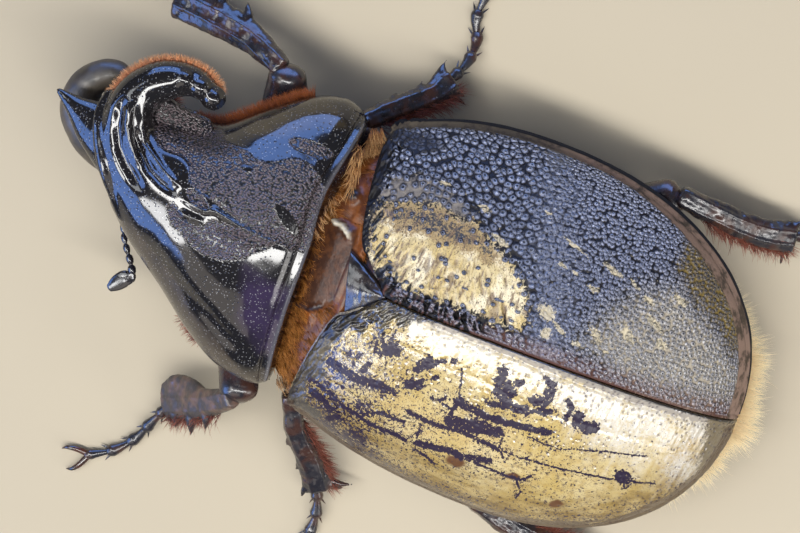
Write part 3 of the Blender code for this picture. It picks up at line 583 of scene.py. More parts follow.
# Lines and areas of the shield, on the chart of the back: each fold and groove has its width and height,
# each spot its centre, radii and turn
shieldMarks = {
    "folds": [
        ([(136, 97), (129, 110), (127, 124), (130, 140), (135, 154), (141, 170)], 3.6, 0.55),
        ([(145, 94), (141, 113), (141, 130), (145, 143), (153, 155), (163, 169), (174, 181),
          (187, 189)], 3.2, 0.5),
        ([(178, 196), (191, 204), (204, 211), (215, 211), (229, 219), (244, 228), (256, 236), (270, 241),
          (290, 249)], 2.3, 0.34),
        ([(178, 211), (190, 217), (204, 222)], 2.6, 0.3),
        ([(195, 190), (204, 197), (210, 207), (213, 212)], 1.4, 0.24),
        ([(260, 226), (271, 233), (279, 242)], 1.3, 0.2),
        ([(237, 242), (255, 244), (277, 242)], 1.5, 0.22),
        ([(219, 233), (231, 236), (243, 238)], 1.6, 0.2),
        ([(127, 92), (119, 110), (117, 128), (119, 148), (126, 165), (135, 180), (146, 194)], 4.4, -0.55),
        ([(134, 124), (136, 139), (141, 154), (149, 170), (161, 183), (178, 196)], 2.6, -0.5),
        ([(209, 199), (223, 210), (237, 221), (246, 229)], 1.9, -0.42),
        ([(155, 130), (166, 148), (183, 154), (190, 162), (190, 174)], 2.0, -0.35),
        ([(214, 230), (230, 233), (246, 237)], 1.5, -0.26),
        ([(186, 189), (195, 193), (204, 204), (209, 214)], 1.6, -0.25),
        ([(168, 206), (176, 216), (186, 226)], 1.6, -0.2),
        ([(132, 226), (150, 252), (169, 277), (186, 298), (207, 319), (222, 336), (240, 351), (258, 362)],
         9.5, -0.5),
    ],
    "rough": [(155, 104), (155, 132), (158, 146), (171, 152), (187, 157), (190, 168), (189, 180), (195, 189),
              (209, 198), (223, 209), (238, 220), (251, 231), (271, 239), (280, 242), (291, 250), (305, 250),
              (314, 232), (319, 218), (323, 200), (322, 180), (312, 166), (303, 160), (293, 158), (279, 161),
              (265, 162), (254, 158), (248, 150), (237, 146), (226, 140), (222, 128), (211, 122), (185, 106)],
    "roughLow": [(167, 206), (173, 204), (181, 215), (188, 224), (201, 228), (212, 220), (237, 227),
                 (251, 232), (265, 239), (277, 242), (265, 249), (251, 253), (246, 258), (223, 260),
                 (204, 255), (195, 248), (188, 243), (181, 232), (171, 224)],
    "roughSpots": [((197, 199), (13, 5.5), 40), ((312, 147), (24, 7.5), 20)],
    "smoothSpots": [((287, 220), (7, 20), -35), ((247, 168), (7, 4), 20)],
    "dent": ((300, 142), (75, 24), 6),
    "outer": [(124, 232), (144, 260), (166, 290), (180, 318), (205, 345), (223, 367), (237, 381), (254, 384),
              (270, 378)],
    # purple-navy area where a dark sky is reflected: a painted reflection
    "violetReflection": [(245, 264), (269, 282), (292, 291), (286, 309), (279, 330), (274, 353), (261, 353), (247, 334),
               (238, 316), (242, 287)],
    "olive": [(238, 123), (254, 115), (277, 108), (302, 100), (328, 101), (341, 110), (347, 126), (315, 124),
              (296, 129), (283, 134), (251, 134)],
    # ledges and fillings: chart place, height, half width and half height in millimetres
    "ledge": [((112, 94), 22.0, 0.9, 0.7), ((103, 112), 22.3, 1.0, 0.7), ((101, 132), 22.8, 1.0, 0.7),
              ((103, 152), 23.0, 1.0, 0.7), ((108, 172), 22.8, 1.0, 0.7), ((116, 194), 22.2, 0.95, 0.6),
              ((124, 216), 21.4, 0.8, 0.5)],
    "web": [((157, 106), 20.0, 1.9, 1.2), ((166, 116), 19.9, 2.1, 1.2), ((182, 123), 19.8, 1.7, 1.2),
            ((204, 129), 19.6, 1.4, 1.1)],
    "hornKnobs": [((184, 79), 23.6, 1.5), ((200, 87), 23.3, 1.5), ((213, 98), 22.8, 1.55)],
}
shieldRelief = {
    "foldShare": 0.8,
    "grainSize": 0.36,
    "grainDepth": 0.1,
    "beadHeight": 0.3,
    "grooveDepth": 0.26,
    "dentDepth": 0.5,
    "waveSize": 3.0,
    "waveDepth": 0.12,
}


def makeShield():
    shape, marks, relief = shieldShape, shieldMarks, shieldRelief
    ys = np.linspace(shieldRear, shape["stations"][-1][0], shape["rings"])
    parts = [loftMesh("shield", [shieldRing(y) for y in ys]),
             tubePiece("knob", shape["knob"], shape["knobRadii"], sides=24, steps=12)]
    for key, sides, steps in (("horn", 48, 90), ("tooth", 32, 30)):
        parts.append(tubePiece(key, shape[key], shape[key + "Widths"], shape[key + "Heights"], sides, steps))
    for key in ("ledge", "web"):
        spots, heights, wides, highs = zip(*marks[key])
        path = [atPlan(*spot, z) for spot, z in zip(spots, heights)]
        parts.append(tubePiece(key, path, wides, highs, sides=28, steps=60, cap=0.7))
    for spot, z, radius in marks["hornKnobs"]:
        post = [atPlan(*spot, z - 0.4), atPlan(*spot, z), atPlan(*spot, z + 0.4) + [0.05, 0.0, 0.0]]
        parts.append(tubePiece("bump", post, [radius * 0.8, radius, radius * 0.7], sides=24, steps=8))
    skin = joinPieces("shieldSkin", parts)
    remeshPiece(skin, shape["voxel"], 12, 0.6)
    places = vertPlaces(skin)
    u, v = planOf(places)
    up = ramp(vertNormals(skin)[:, 2], 0.05, 0.45)
    height = sum(softLine(u, v, line, width) * tall for line, width, tall in marks["folds"])
    height = height * relief["foldShare"]
    rough = np.maximum.reduce([areaMask(u, v, marks[key], 2.0) for key in ("rough", "roughLow")]
                              + [spotMask(u, v, spot, 0.15) for spot in marks["roughSpots"]])
    for spot in marks["smoothSpots"]:
        rough *= 1.0 - spotMask(u, v, spot, 0.2)
    rough *= up
    # Leathery wrinkles of the rough ground, running slantwise
    slant = places @ np.array([[0.8, 0.6, 0.0], [-0.6, 0.8, 0.0], [0.0, 0.0, 1.0]])
    grain = cloudNoise(slant * np.array([1.0, 0.62, 1.0]) + 40.0, relief["grainSize"], 9, 2)
    height += rough * (0.04 - (np.abs(grain - 0.5) * 2.0) ** 0.7 * relief["grainDepth"])
    # Bead and groove along the rear edge
    fromRear = shieldRear - rearBow(places[:, 0]) - places[:, 1]
    height += up * ((ramp(fromRear, -0.2, 0.15) - ramp(fromRear, 0.4, 0.65)) * relief["beadHeight"]
                    - bell(fromRear, 0.75, 0.24) * relief["grooveDepth"]
                    - spotMask(u, v, marks["dent"], 0.8) * relief["dentDepth"]
                    + (cloudNoise(places, relief["waveSize"], 15, 2) - 0.5) * relief["waveDepth"])
    raiseSkin(skin, height)
    paint(skin, "rough", rough)
    paint(skin, "band", (1.0 - ramp(nearLine(u, v, marks["outer"])[0], 9.0, 13.0)) * up)
    paint(skin, "violetReflection", areaMask(u, v, marks["violetReflection"], 9) * up)
    # The crest of the rear bead, which the finish paints grey as a painted highlight
    paint(skin, "edge", (ramp(fromRear, 0.0, 0.2) - ramp(fromRear, 0.32, 0.5)) * up)
    paint(skin, "olive", areaMask(u, v, marks["olive"], 6))
    return skin


shieldLooks = {
    "black": (0.009, 0.008, 0.009),
    # purple-grey tops of the rough ground's pebbles: painted light
    "roughLitTops": (0.098, 0.073, 0.08),
    # grey of the bead's crest: a painted highlight
    "bead": (0.11, 0.11, 0.13),
    # painted reflection of a dark sky
    "violetReflection": (0.03, 0.02, 0.05),
    "olive": (0.05, 0.038, 0.02),
    "band": (0.05, 0.04, 0.032),
    # light grey of the punctures: a painted glint
    "punctureGlint": (0.34, 0.34, 0.36),
    "pebbleSize": 0.22,
    "pebbleDepth": 0.13,
    "punctureSize": 0.36,
}


def pebbleDistance(size):
    # Cells drawn out slantwise, with wavering borders
    waver = addNode("TexNoise", {"Vector": place(), "Scale": 1.0 / (0.6 * mm), "Detail": 1.0}, "Color")
    waver = addNode("VectorMath", {0: waver, "Scale": 0.2 * mm}, operation="SCALE")
    bent = addNode("VectorMath", {0: place(), 1: waver}, operation="ADD")
    slant = addNode("Mapping", {"Vector": bent, "Rotation": (0.0, 0.0, 0.9), "Scale": (1.0, 0.7, 0.8)})
    return addNode("TexVoronoi", {"Vector": slant, "Scale": 1.0 / (size * mm)})


def shieldFinish():
    material, looks = newMaterial("shieldCuticle"), shieldLooks
    rough = mask("rough")
    cloud = step(noise(2.5), 0.3, 0.6, 0.5, 1.0)
    colour = looks["black"]
    # The violet area is a painted reflection of a dark sky, blended in like a colour
    for key in ("violetReflection", "olive", "band"):
        colour = blend(mask(key) * cloud, colour, looks[key])
    pebble = pebbleDistance(looks["pebbleSize"])
    # Pebble tops painted lighter than the black gaps between them: painted light on the tops, painted shade
    # in the gaps
    colour = blend(rough, colour, blend(step(pebble, 0.36, 0.6), looks["roughLitTops"], looks["black"]))
    # Painted highlight: a grey line along the crest of the rear bead
    colour = blend(mask("edge") * 0.8, colour, looks["bead"])
    normal = pits(0.4, 0.24, 0.06, bump(step(pebble, 0.1, 0.75) * rough, -looks["pebbleDepth"]))
    # Light grey dots in the punctures off the rough ground: painted glints where the pits catch the light
    punctureGlint = step(dotDistance(looks["punctureSize"]), 0.25, 0.13) * (1.0 - rough)
    colour = blend(punctureGlint * 0.5, colour, looks["punctureGlint"])
    roughness = step(rough, 0.0, 1.0, 0.1, 0.22) + mask("band") * 0.16
    return setShader(material, colour=colour, roughness=roughness, normal=normal, ior=1.58)


# Head, cephalic horn, eyes, feelers and mouthparts

headShape = {
    "centreX": -2.3,
    "centreZ": 8.6,
    "stations": [-24.6, -26.4, -29.0, -31.5, -33.6, -35.2, -36.0],
    "widths": [3.0, 4.4, 4.8, 4.0, 3.0, 2.3, 1.7],
    "heights": [2.8, 3.8, 4.1, 3.4, 2.1, 1.3, 0.8],
    "horn": [(-1.8, -30.8, 10.4), (-2.4, -34.6, 12.0), (-3.6, -37.8, 13.2), (-6.0, -40.1, 14.0),
             (-8.4, -40.4, 14.6), (-10.3, -39.2, 15.0), (-11.2, -37.4, 15.1), (-10.6, -35.9, 15.1)],
    "hornRadii": [3.1, 2.9, 2.8, 2.5, 2.05, 1.75, 1.5, 1.0],
    "eyeRadius": 1.3,
    "eyeOffset": 4.6,
    "mandible": [(1.3, -33.0, 7.0), (1.7, -35.6, 6.6), (1.0, -37.2, 6.5)],
    "mandibleRadii": [1.0, 0.8, 0.35],
    "palp": [(2.6, -32.0, 5.8), (3.6, -34.2, 4.2), (3.3, -36.0, 3.4)],
    "palpRadii": [0.5, 0.45, 0.4],
    "antennaLeft": [(0.6, -32.2, 7.2), (4.4, -32.3, 7.8), (7.2, -31.0, 8.8), (9.2, -29.5, 9.0),
                    (10.6, -28.7, 9.0), (11.4, -29.5, 8.8), (13.0, -30.7, 8.4)],
    "antennaRight": [(-5.2, -32.2, 6.8), (-7.2, -32.6, 6.4), (-8.4, -31.6, 6.2), (-8.9, -30.0, 6.0),
                     (-9.0, -28.6, 5.8), (-8.6, -27.2, 5.6), (-8.4, -25.4, 5.4)],
    "stalkRadii": [0.5, 0.42, 0.4, 0.38, 0.36, 0.36, 0.38, 0.42, 0.5],
    "stalkSwell": 1.1,
    "leafWidths": [0.3, 0.7, 0.95, 0.95, 0.8, 0.5],
    "leafHeights": [0.2, 0.22, 0.22, 0.22, 0.2, 0.14],
    "leafLift": 0.36,
    "beads": 9,
    "clubShare": 0.78,
    # ridge over each eye: distance from the middle, y, z and height
    "brow": (3.6, -29.8, 10.6, 0.5),
    # ledge over the mouth: z and height
    "mouthLedge": (8.9, 0.35),
}


def makeHead(finish):
    shape = headShape
    spine = [(shape["centreX"], y, shape["centreZ"]) for y in shape["stations"]]
    head = tubePiece("headSkin", spine, shape["widths"], shape["heights"], sides=64, steps=60, cap=0.5)
    places = vertPlaces(head)
    x, y, z = places[:, 0] - shape["centreX"], places[:, 1], places[:, 2]
    browX, browY, browZ, browHeight = shape["brow"]
    ledgeZ, ledgeHeight = shape["mouthLedge"]
    brow = bell(np.abs(x), browX, 0.8) * bell(y, browY, 1.6) * bell(z, browZ, 1.2)
    ledge = bell(z, ledgeZ, 0.35) * ramp(-y, 33.2, 34.8)
    raiseSkin(head, brow * browHeight + ledge * ledgeHeight + (cloudNoise(places, 0.8, 3) - 0.5) * 0.12)
    finishPiece(head, finish, ["head"])


def makeHeadHorn():
    points, radii = headShape["horn"], headShape["hornRadii"]
    horn = tubePiece("cephalicHornSkin", points, radii, sides=64, steps=150, cap=0.7)
    roughen(horn, (2.2, 8, 0.16, 3), (0.5, 12, 0.03, 2))
    return horn


def makeEye(word, side, finish):
    bm = bmesh.new()
    bmesh.ops.create_uvsphere(bm, u_segments=56, v_segments=40, radius=headShape["eyeRadius"])
    middle = Vector((headShape["centreX"] + side * headShape["eyeOffset"], eyePlace[1], eyePlace[2]))
    bmesh.ops.translate(bm, vec=middle, verts=bm.verts)
    mesh = bpy.data.meshes.new("eye" + word)
    bm.to_mesh(mesh)
    bm.free()
    finishPiece(linkObject("eye" + word, mesh), finish, ["eye_" + word.lower()])


def beadRings(points, radii, beads, sides, perBead=7):
    # A jointed feeler: each bead narrow at its root and full before its end.
    lengths = chordLengths(points)
    profile = 0.5 + 0.5 * np.sin(np.linspace(0.0, 1.0, perBead) ** 0.8 * math.pi) ** 0.6
    rings = []
    for bead in range(beads):
        shares = (bead + np.linspace(0.04, 0.96, perBead)) / beads
        radius = smoothValue(lengths, radii, shares * lengths[-1]) * profile * headShape["stalkSwell"]
        rings.append(ringsAround(*pathPoints(points, shares), radius, radius, sides))
    return np.concatenate(rings)


def makeAntenna(word, finish):
    shape = headShape
    points, share = shape["antenna" + word], shape["clubShare"]
    stalkPath = pathPoints(points, np.linspace(0.0, share, len(shape["stalkRadii"])))[0]
    clubPath = pathPoints(points, np.linspace(share - 0.02, 1.0, len(shape["leafWidths"])))[0]
    parts = [loftMesh("stalk", beadRings(stalkPath, shape["stalkRadii"], shape["beads"], 16))]
    widths, heights = shape["leafWidths"], shape["leafHeights"]
    for k in (-1, 0, 1):
        path = clubPath + [0.0, 0.0, k * shape["leafLift"]]
        parts.append(tubePiece("leaf", path, widths, heights, sides=20, steps=20, cap=0.5))
    finishPiece(joinPieces("antenna" + word + "Joints", parts), finish, ["antenna_" + word.lower()])


def makeMouth(finish):
    for word, side in (("left", 1), ("right", -1)):
        for part, cap in (("mandible", 0.5), ("palp", 0.6)):
            points = [(headShape["centreX"] + side * x, y, z) for x, y, z in headShape[part]]
            name, radii = part + word.capitalize() + "Skin", headShape[part + "Radii"]
            piece = tubePiece(name, points, radii, sides=24, steps=24, cap=cap)
            finishPiece(piece, finish, [part + "_" + word])


# Wing cases

wingShape = {
    # half width, widest y, reach back, reach front
    "outlines": {1: (20.3, 17.0, 24.5, 37.2), -1: (21.8, 12.0, 29.5, 27.5)},
    "rearY": 41.5,
    "power": 2.2,
    "top": 24.5,
    "topY": 8.0,
    "frontDrop": 8.0,
    "thick": 0.9,
    "lip": 0.9,
    "endAngle": 88.5,
    "marginFront": 12.5,
    "marginRear": 9.5,
    "notch": 3.6,
    "sweep": 3.0,
    "run": 11.5,
    "sweepPower": 0.45,
    "gap": 0.12,
    "grid": {1: (500, 250), -1: (640, 320)},
    "innerSkip": 6,         # the inner sheet keeps every sixth row and column
    "rimSkip": 8,
    "lipDrop": 0.8,
    "wallShare": 0.9,       # depth of the base and suture walls in the thickness
}


def halfWidth(y, side, inset=0.0):
    half, widest, back, front = wingShape["outlines"][side]
    t = np.minimum(np.abs(y - widest) / (np.where(y > widest, back, front) - inset), 1.0)
    return (half - inset) * (1.0 - t ** wingShape["power"]) ** (1.0 / wingShape["power"])


def marginHeight(y):
    share = np.clip(y / wingShape["rearY"], 0.0, 1.0)
    return wingShape["marginFront"] + (wingShape["marginRear"] - wingShape["marginFront"]) * share


def crestHeight(y, inset=0.0):
    top, topY = wingShape["top"] - inset, wingShape["topY"]
    t = np.clip((y - topY) / (wingShape["rearY"] - topY - inset), 0.0, 1.0)
    low = marginHeight(y)
    return np.where(y < topY, top - ((topY - y) / wingShape["frontDrop"]) ** 2,
                    low + (top - low) * np.sqrt(1.0 - t * t))


def baseEdge(x):
    notch = wingShape["notch"]
    beyond = np.clip((x - notch) / wingShape["run"], 0.0, 1.0) ** wingShape["sweepPower"]
    return np.where(x < notch, -x, -notch - wingShape["sweep"] * beyond)


def wingGrid(side, inset):
    # Rows run from the base to the tip, columns from the suture to the margin.
    rows, columns = wingShape["grid"][side]
    gap, power = wingShape["gap"], wingShape["power"]
    widest, back, front = wingShape["outlines"][side][1:]
    low, high = superCircle(np.linspace(0.0, math.pi / 2, columns + 1), power)
    start = np.zeros(columns + 1)
    for _ in range(4):
        start = baseEdge(halfWidth(start, side) * high)
    first = -np.arcsin(np.minimum((widest - start) / front, 1.0) ** (power / 2))
    angle = first + (math.radians(wingShape["endAngle"]) - first) * np.linspace(0.0, 1.0, rows + 1)[:, None]
    way = np.sign(angle) * np.abs(np.sin(angle)) ** (2 / power)
    y = widest + way * np.where(way > 0, back - inset, front)
    x = gap + (halfWidth(y, side, inset) - gap) * high
    z = marginHeight(y) + (crestHeight(y, inset) - marginHeight(y)) * low
    return np.stack([side * x, y, z], axis=2)


def runLengths(grid, axis):
    steps = np.linalg.norm(np.diff(grid, axis=axis), axis=2)
    return np.insert(np.cumsum(steps, axis=axis), 0, 0.0, axis=axis)


def makeWing(name, side, relief):
    grid, thick, lip = wingGrid(side, 0.0), wingShape["thick"], wingShape["lip"]
    normals = unit(np.cross(np.gradient(grid, axis=1), np.gradient(grid, axis=0)))
    if normals[grid.shape[0] // 2, grid.shape[1] // 3, 2] < 0:
        normals = -normals
    flat, normals = grid.reshape(-1, 3), normals.reshape(-1, 3)
    fromBase = runLengths(grid, 0)
    rim = [tuple(spot) for spot in grid[::wingShape["rimSkip"], -1, :2]]
    height, paints = relief(flat, runLengths(grid, 1).ravel(), (fromBase + grid[0, :, 1]).ravel(),
                            nearLine(flat[:, 0], flat[:, 1], rim)[0], fromBase.ravel())
    flat = flat + normals * height[:, None]
    # A thinned inner sheet, and strips between the two sheets along the margin, base and suture
    inner = wingGrid(side, thick)[::wingShape["innerSkip"], ::wingShape["innerSkip"]]
    count = len(flat)
    numbers = np.arange(count).reshape(grid.shape[:2])
    verts = [flat, inner.reshape(-1, 3)]
    faces = [ringFaces(*grid.shape[:2], closed=False)[:, ::side],
             ringFaces(*inner.shape[:2], count, closed=False)[:, ::-side]]
    below = flat - normals * thick * wingShape["wallShare"]
    turned = flat + np.array([-side * lip, 0.0, -lip * wingShape["lipDrop"]])
    for edge, way, lowSheet in ((numbers[:, -1], -side, turned), (numbers[0], -side, below),
                                (numbers[:, 0], side, below)):
        low = sum(len(part) for part in verts) + np.arange(len(edge))
        faces.append(np.stack([edge[:-1], edge[1:], low[1:], low[:-1]], axis=1)[:, ::way])
        verts.append(lowSheet[edge])
    wing = buildMesh(name, np.concatenate(verts), np.concatenate(faces))
    extra = len(wing.data.vertices) - count
    for key, values in paints.items():
        paint(wing, key, np.append(values, np.full(extra, values[-1] if key == "margin" else 0.0)))
    return wing


# Marks of the left wing case on the chart: lines with widths, and blotches with radii and turns
leftMarks = {
    "lines": [
        ([(307, 373), (318, 384), (330, 394), (347, 409), (362, 418), (372, 425), (381, 429), (395, 434),
          (406, 441)], 3.2),
        ([(357, 404), (364, 416)], 2.2), ([(362, 403), (369, 417)], 2.2), ([(367, 404), (373, 414)], 2.0),
        ([(368, 412), (384, 414), (394, 419), (404, 422)], 2.8),
        ([(408, 411), (423, 420), (443, 427), (457, 430), (467, 434), (475, 438), (484, 443),
          (500, 450)], 3.6),
        ([(500, 450), (525, 459), (552, 467), (584, 474), (616, 480), (655, 484)], 1.6),
        ([(330, 361), (340, 368), (352, 376), (362, 381), (372, 384), (382, 386)], 8.0),
        ([(463, 405), (475, 410), (486, 417), (500, 421), (523, 427), (548, 433)], 6.0),
        ([(457, 401), (452, 412), (449, 420)], 3.6), ([(462, 369), (461, 385), (458, 400)], 1.8),
        ([(449, 420), (462, 424), (480, 428), (498, 432)], 9.5),
        ([(417, 443), (437, 448), (452, 451), (462, 457), (476, 459), (490, 461)], 5.5),
        ([(475, 463), (500, 474), (521, 480), (531, 476)], 2.2), ([(418, 451), (426, 457), (434, 464)], 2.4),
        ([(420, 425), (417, 437)], 2.4), ([(432, 399), (440, 401), (446, 397)], 2.8),
        ([(443, 404), (451, 409)], 2.4), ([(568, 401), (572, 408), (566, 419)], 4.0),
        ([(528, 437), (559, 449), (597, 451), (647, 456)], 1.5), ([(504, 434), (499, 448), (503, 458)], 2.0),
        ([(516, 480), (520, 492), (516, 499)], 1.8), ([(312, 391), (325, 402), (331, 409)], 5.5),
        ([(329, 418), (338, 416)], 4.5), ([(351, 432), (363, 440)], 4.5),
        ([(546, 378), (553, 390), (549, 402), (540, 410)], 5.0), ([(375, 352), (378, 338)], 2.6),
        ([(384, 350), (383, 334)], 2.6), ([(392, 352), (392, 336)], 2.6),
    ],
    "blotches": [
        ((389, 349), (13, 8), 25), ((425, 365), (12, 6.5), -20), ((438, 361), (8, 2.5), 0),
        ((413, 384), (12, 5.5), -4), ((388, 391), (9, 4.5), 10), ((475, 426), (20, 7), 15),
        ((459, 402), (5, 5), 0), ((500, 382), (5, 15), 12), ((508, 394), (6, 13), 15),
        ((519, 409), (12, 5), 12), ((536, 400), (7, 5), 25), ((549, 392), (4, 13), 15),
        ((541, 412), (12, 4), 8), ((577, 420), (6, 8), 30), ((588, 427), (9, 6), 10),
        ((623, 477), (8, 7.5), 0), ((349, 353), (3, 3), 0), ((358, 355), (3.5, 3.2), 0),
        ((368, 364), (2.6, 3), 0), ((362, 370), (4, 4), 0), ((352, 362), (2.6, 2.6), 0),
        ((333, 397), (2.8, 2.8), 0), ((341, 388), (2.6, 2.6), 0), ((434, 379), (3, 2.6), 0),
        ((453, 362), (2.6, 2.6), 0), ((327, 384), (2.4, 2.4), 0), ((320, 372), (2.6, 2.4), 0),
        ((520, 384), (6, 4), 0), ((494, 404), (8, 5), 0),
    ],
    "brown": [((455, 461), (9, 5.5), 10), ((556, 503), (6, 3), 0), ((512, 476), (8, 3), 20)],
    "base": [(300, 360), (322, 322), (346, 304), (360, 318), (340, 336), (328, 352), (322, 366), (330, 376),
             (322, 382), (308, 378), (304, 392), (312, 406), (322, 416), (316, 420), (300, 408), (284, 396)],
    "baseBlack": [(330, 312), (352, 300), (380, 300), (404, 304), (430, 312), (446, 322), (432, 324),
                  (414, 320), (404, 330), (394, 322), (384, 334), (372, 322), (360, 336), (350, 326),
                  (336, 340), (322, 338)],
    "callus": ((299, 400), (9, 5), 50),
    "yellow": ((686, 452), (34, 9), -28),
}

# Marks of the right wing case: where the straw colour lies, its flecks, and the dusty end
rightMarks = {
    "patch": [(366, 262), (372, 240), (372, 216), (382, 205), (410, 203), (431, 205), (455, 215), (473, 221),
              (485, 234), (492, 242), (501, 253), (512, 265), (519, 277), (526, 296), (530, 316), (520, 332),
              (500, 326), (476, 314), (452, 308), (428, 298), (408, 290), (392, 278), (376, 272)],
    "folded": [(364, 236), (392, 232), (430, 246), (470, 256), (512, 280), (524, 322), (500, 326), (452, 308),
               (408, 290), (376, 272)],
    "flecks": [((547, 312), (6, 11), -35), ((446, 185), (6, 2.5), 25), ((486, 210), (6, 3), 40),
               ((499, 240), (3, 9), -40), ((575, 247), (14, 1.6), 38), ((612, 270), (12, 3), 38),
               ((628, 334), (6, 10), -30), ((655, 326), (4, 12), -45), ((662, 344), (4, 7), -30),
               ((594, 289), (7, 2.4), 24), ((595, 335), (4, 11), -30), ((561, 267), (6, 2), 30),
               ((575, 274), (4, 2), 45), ((648, 302), (8, 3), 35), ((549, 213), (4, 1.8), 30),
               ((575, 343), (5, 3), 10), ((560, 328), (9, 3), 50), ((606, 352), (5, 2), 20),
               ((634, 285), (7, 2), 50), ((680, 300), (8, 3), 45), ((546, 333), (6, 5), 20)],
    "dusty": [(585, 345), (610, 310), (645, 292), (684, 290), (708, 318), (730, 344), (742, 372), (736, 404),
              (700, 414), (650, 396), (610, 372)],
    "smoky": [(378, 200), (384, 186), (396, 178), (424, 176), (440, 186), (462, 200), (474, 216), (456, 214),
              (432, 204), (410, 202), (384, 205)],
    "olive": [(686, 240), (716, 256), (738, 290), (746, 338), (734, 356), (716, 326), (694, 300), (676, 268)],
    "bare": ((418, 142), (26, 10), 12),
}
wingRelief = {
    "wobbleSizes": (1.5, 1.2),      # waves of the marks' borders
    "leftWobble": 8.0,
    "rightWobble": 9.0,
    "sutureRib": 0.12,
    "rimRaise": 0.16,
    "baseDrop": 0.7,
    "pitSize": 0.62,
    "pitRadius": 0.13,
    "pitDepth": 0.1,
    "ribs": (5.2, 9.6, 14.0),       # shallow lines along the left back
    "granules": ((0.82, 3, 0.8), (0.54, 17, 0.85)),     # size, seed and jitter, large and small
    "domeHeights": (0.3, 0.2),
    "aloneSizes": (0.66, 0.26),     # foot of a lone granule, and how much less on the patch
    "leftWrinkles": 0.75,
    "crossWrinkles": 0.16,
    "ribDepth": 0.05,
    "grooveDepth": 0.1,             # beside the suture
    "callusHeight": 0.3,
    "rightWrinkles": (0.35, 0.45),  # everywhere in the folds, and more near the base
    "bareShare": 0.85,              # how far granules are missing on the bare spot
}


def wobbled(places, seed, reach):
    return [(cloudNoise(places, size, seed + k * 10) - 0.5) * reach
            for k, size in enumerate(wingRelief["wobbleSizes"])]


def edgeRelief(across, fromMargin, fromBase):
    # Rib along the suture, raised rim with a groove inside it, and a drop at the base
    return ((1.0 - ramp(across, 0.25, 0.7)) * wingRelief["sutureRib"]
            + (ramp(fromMargin, 0.3, 0.12) - bell(fromMargin, 0.42, 0.12)) * wingRelief["rimRaise"]
            - np.maximum(0.5 - fromBase, 0.0) * wingRelief["baseDrop"])


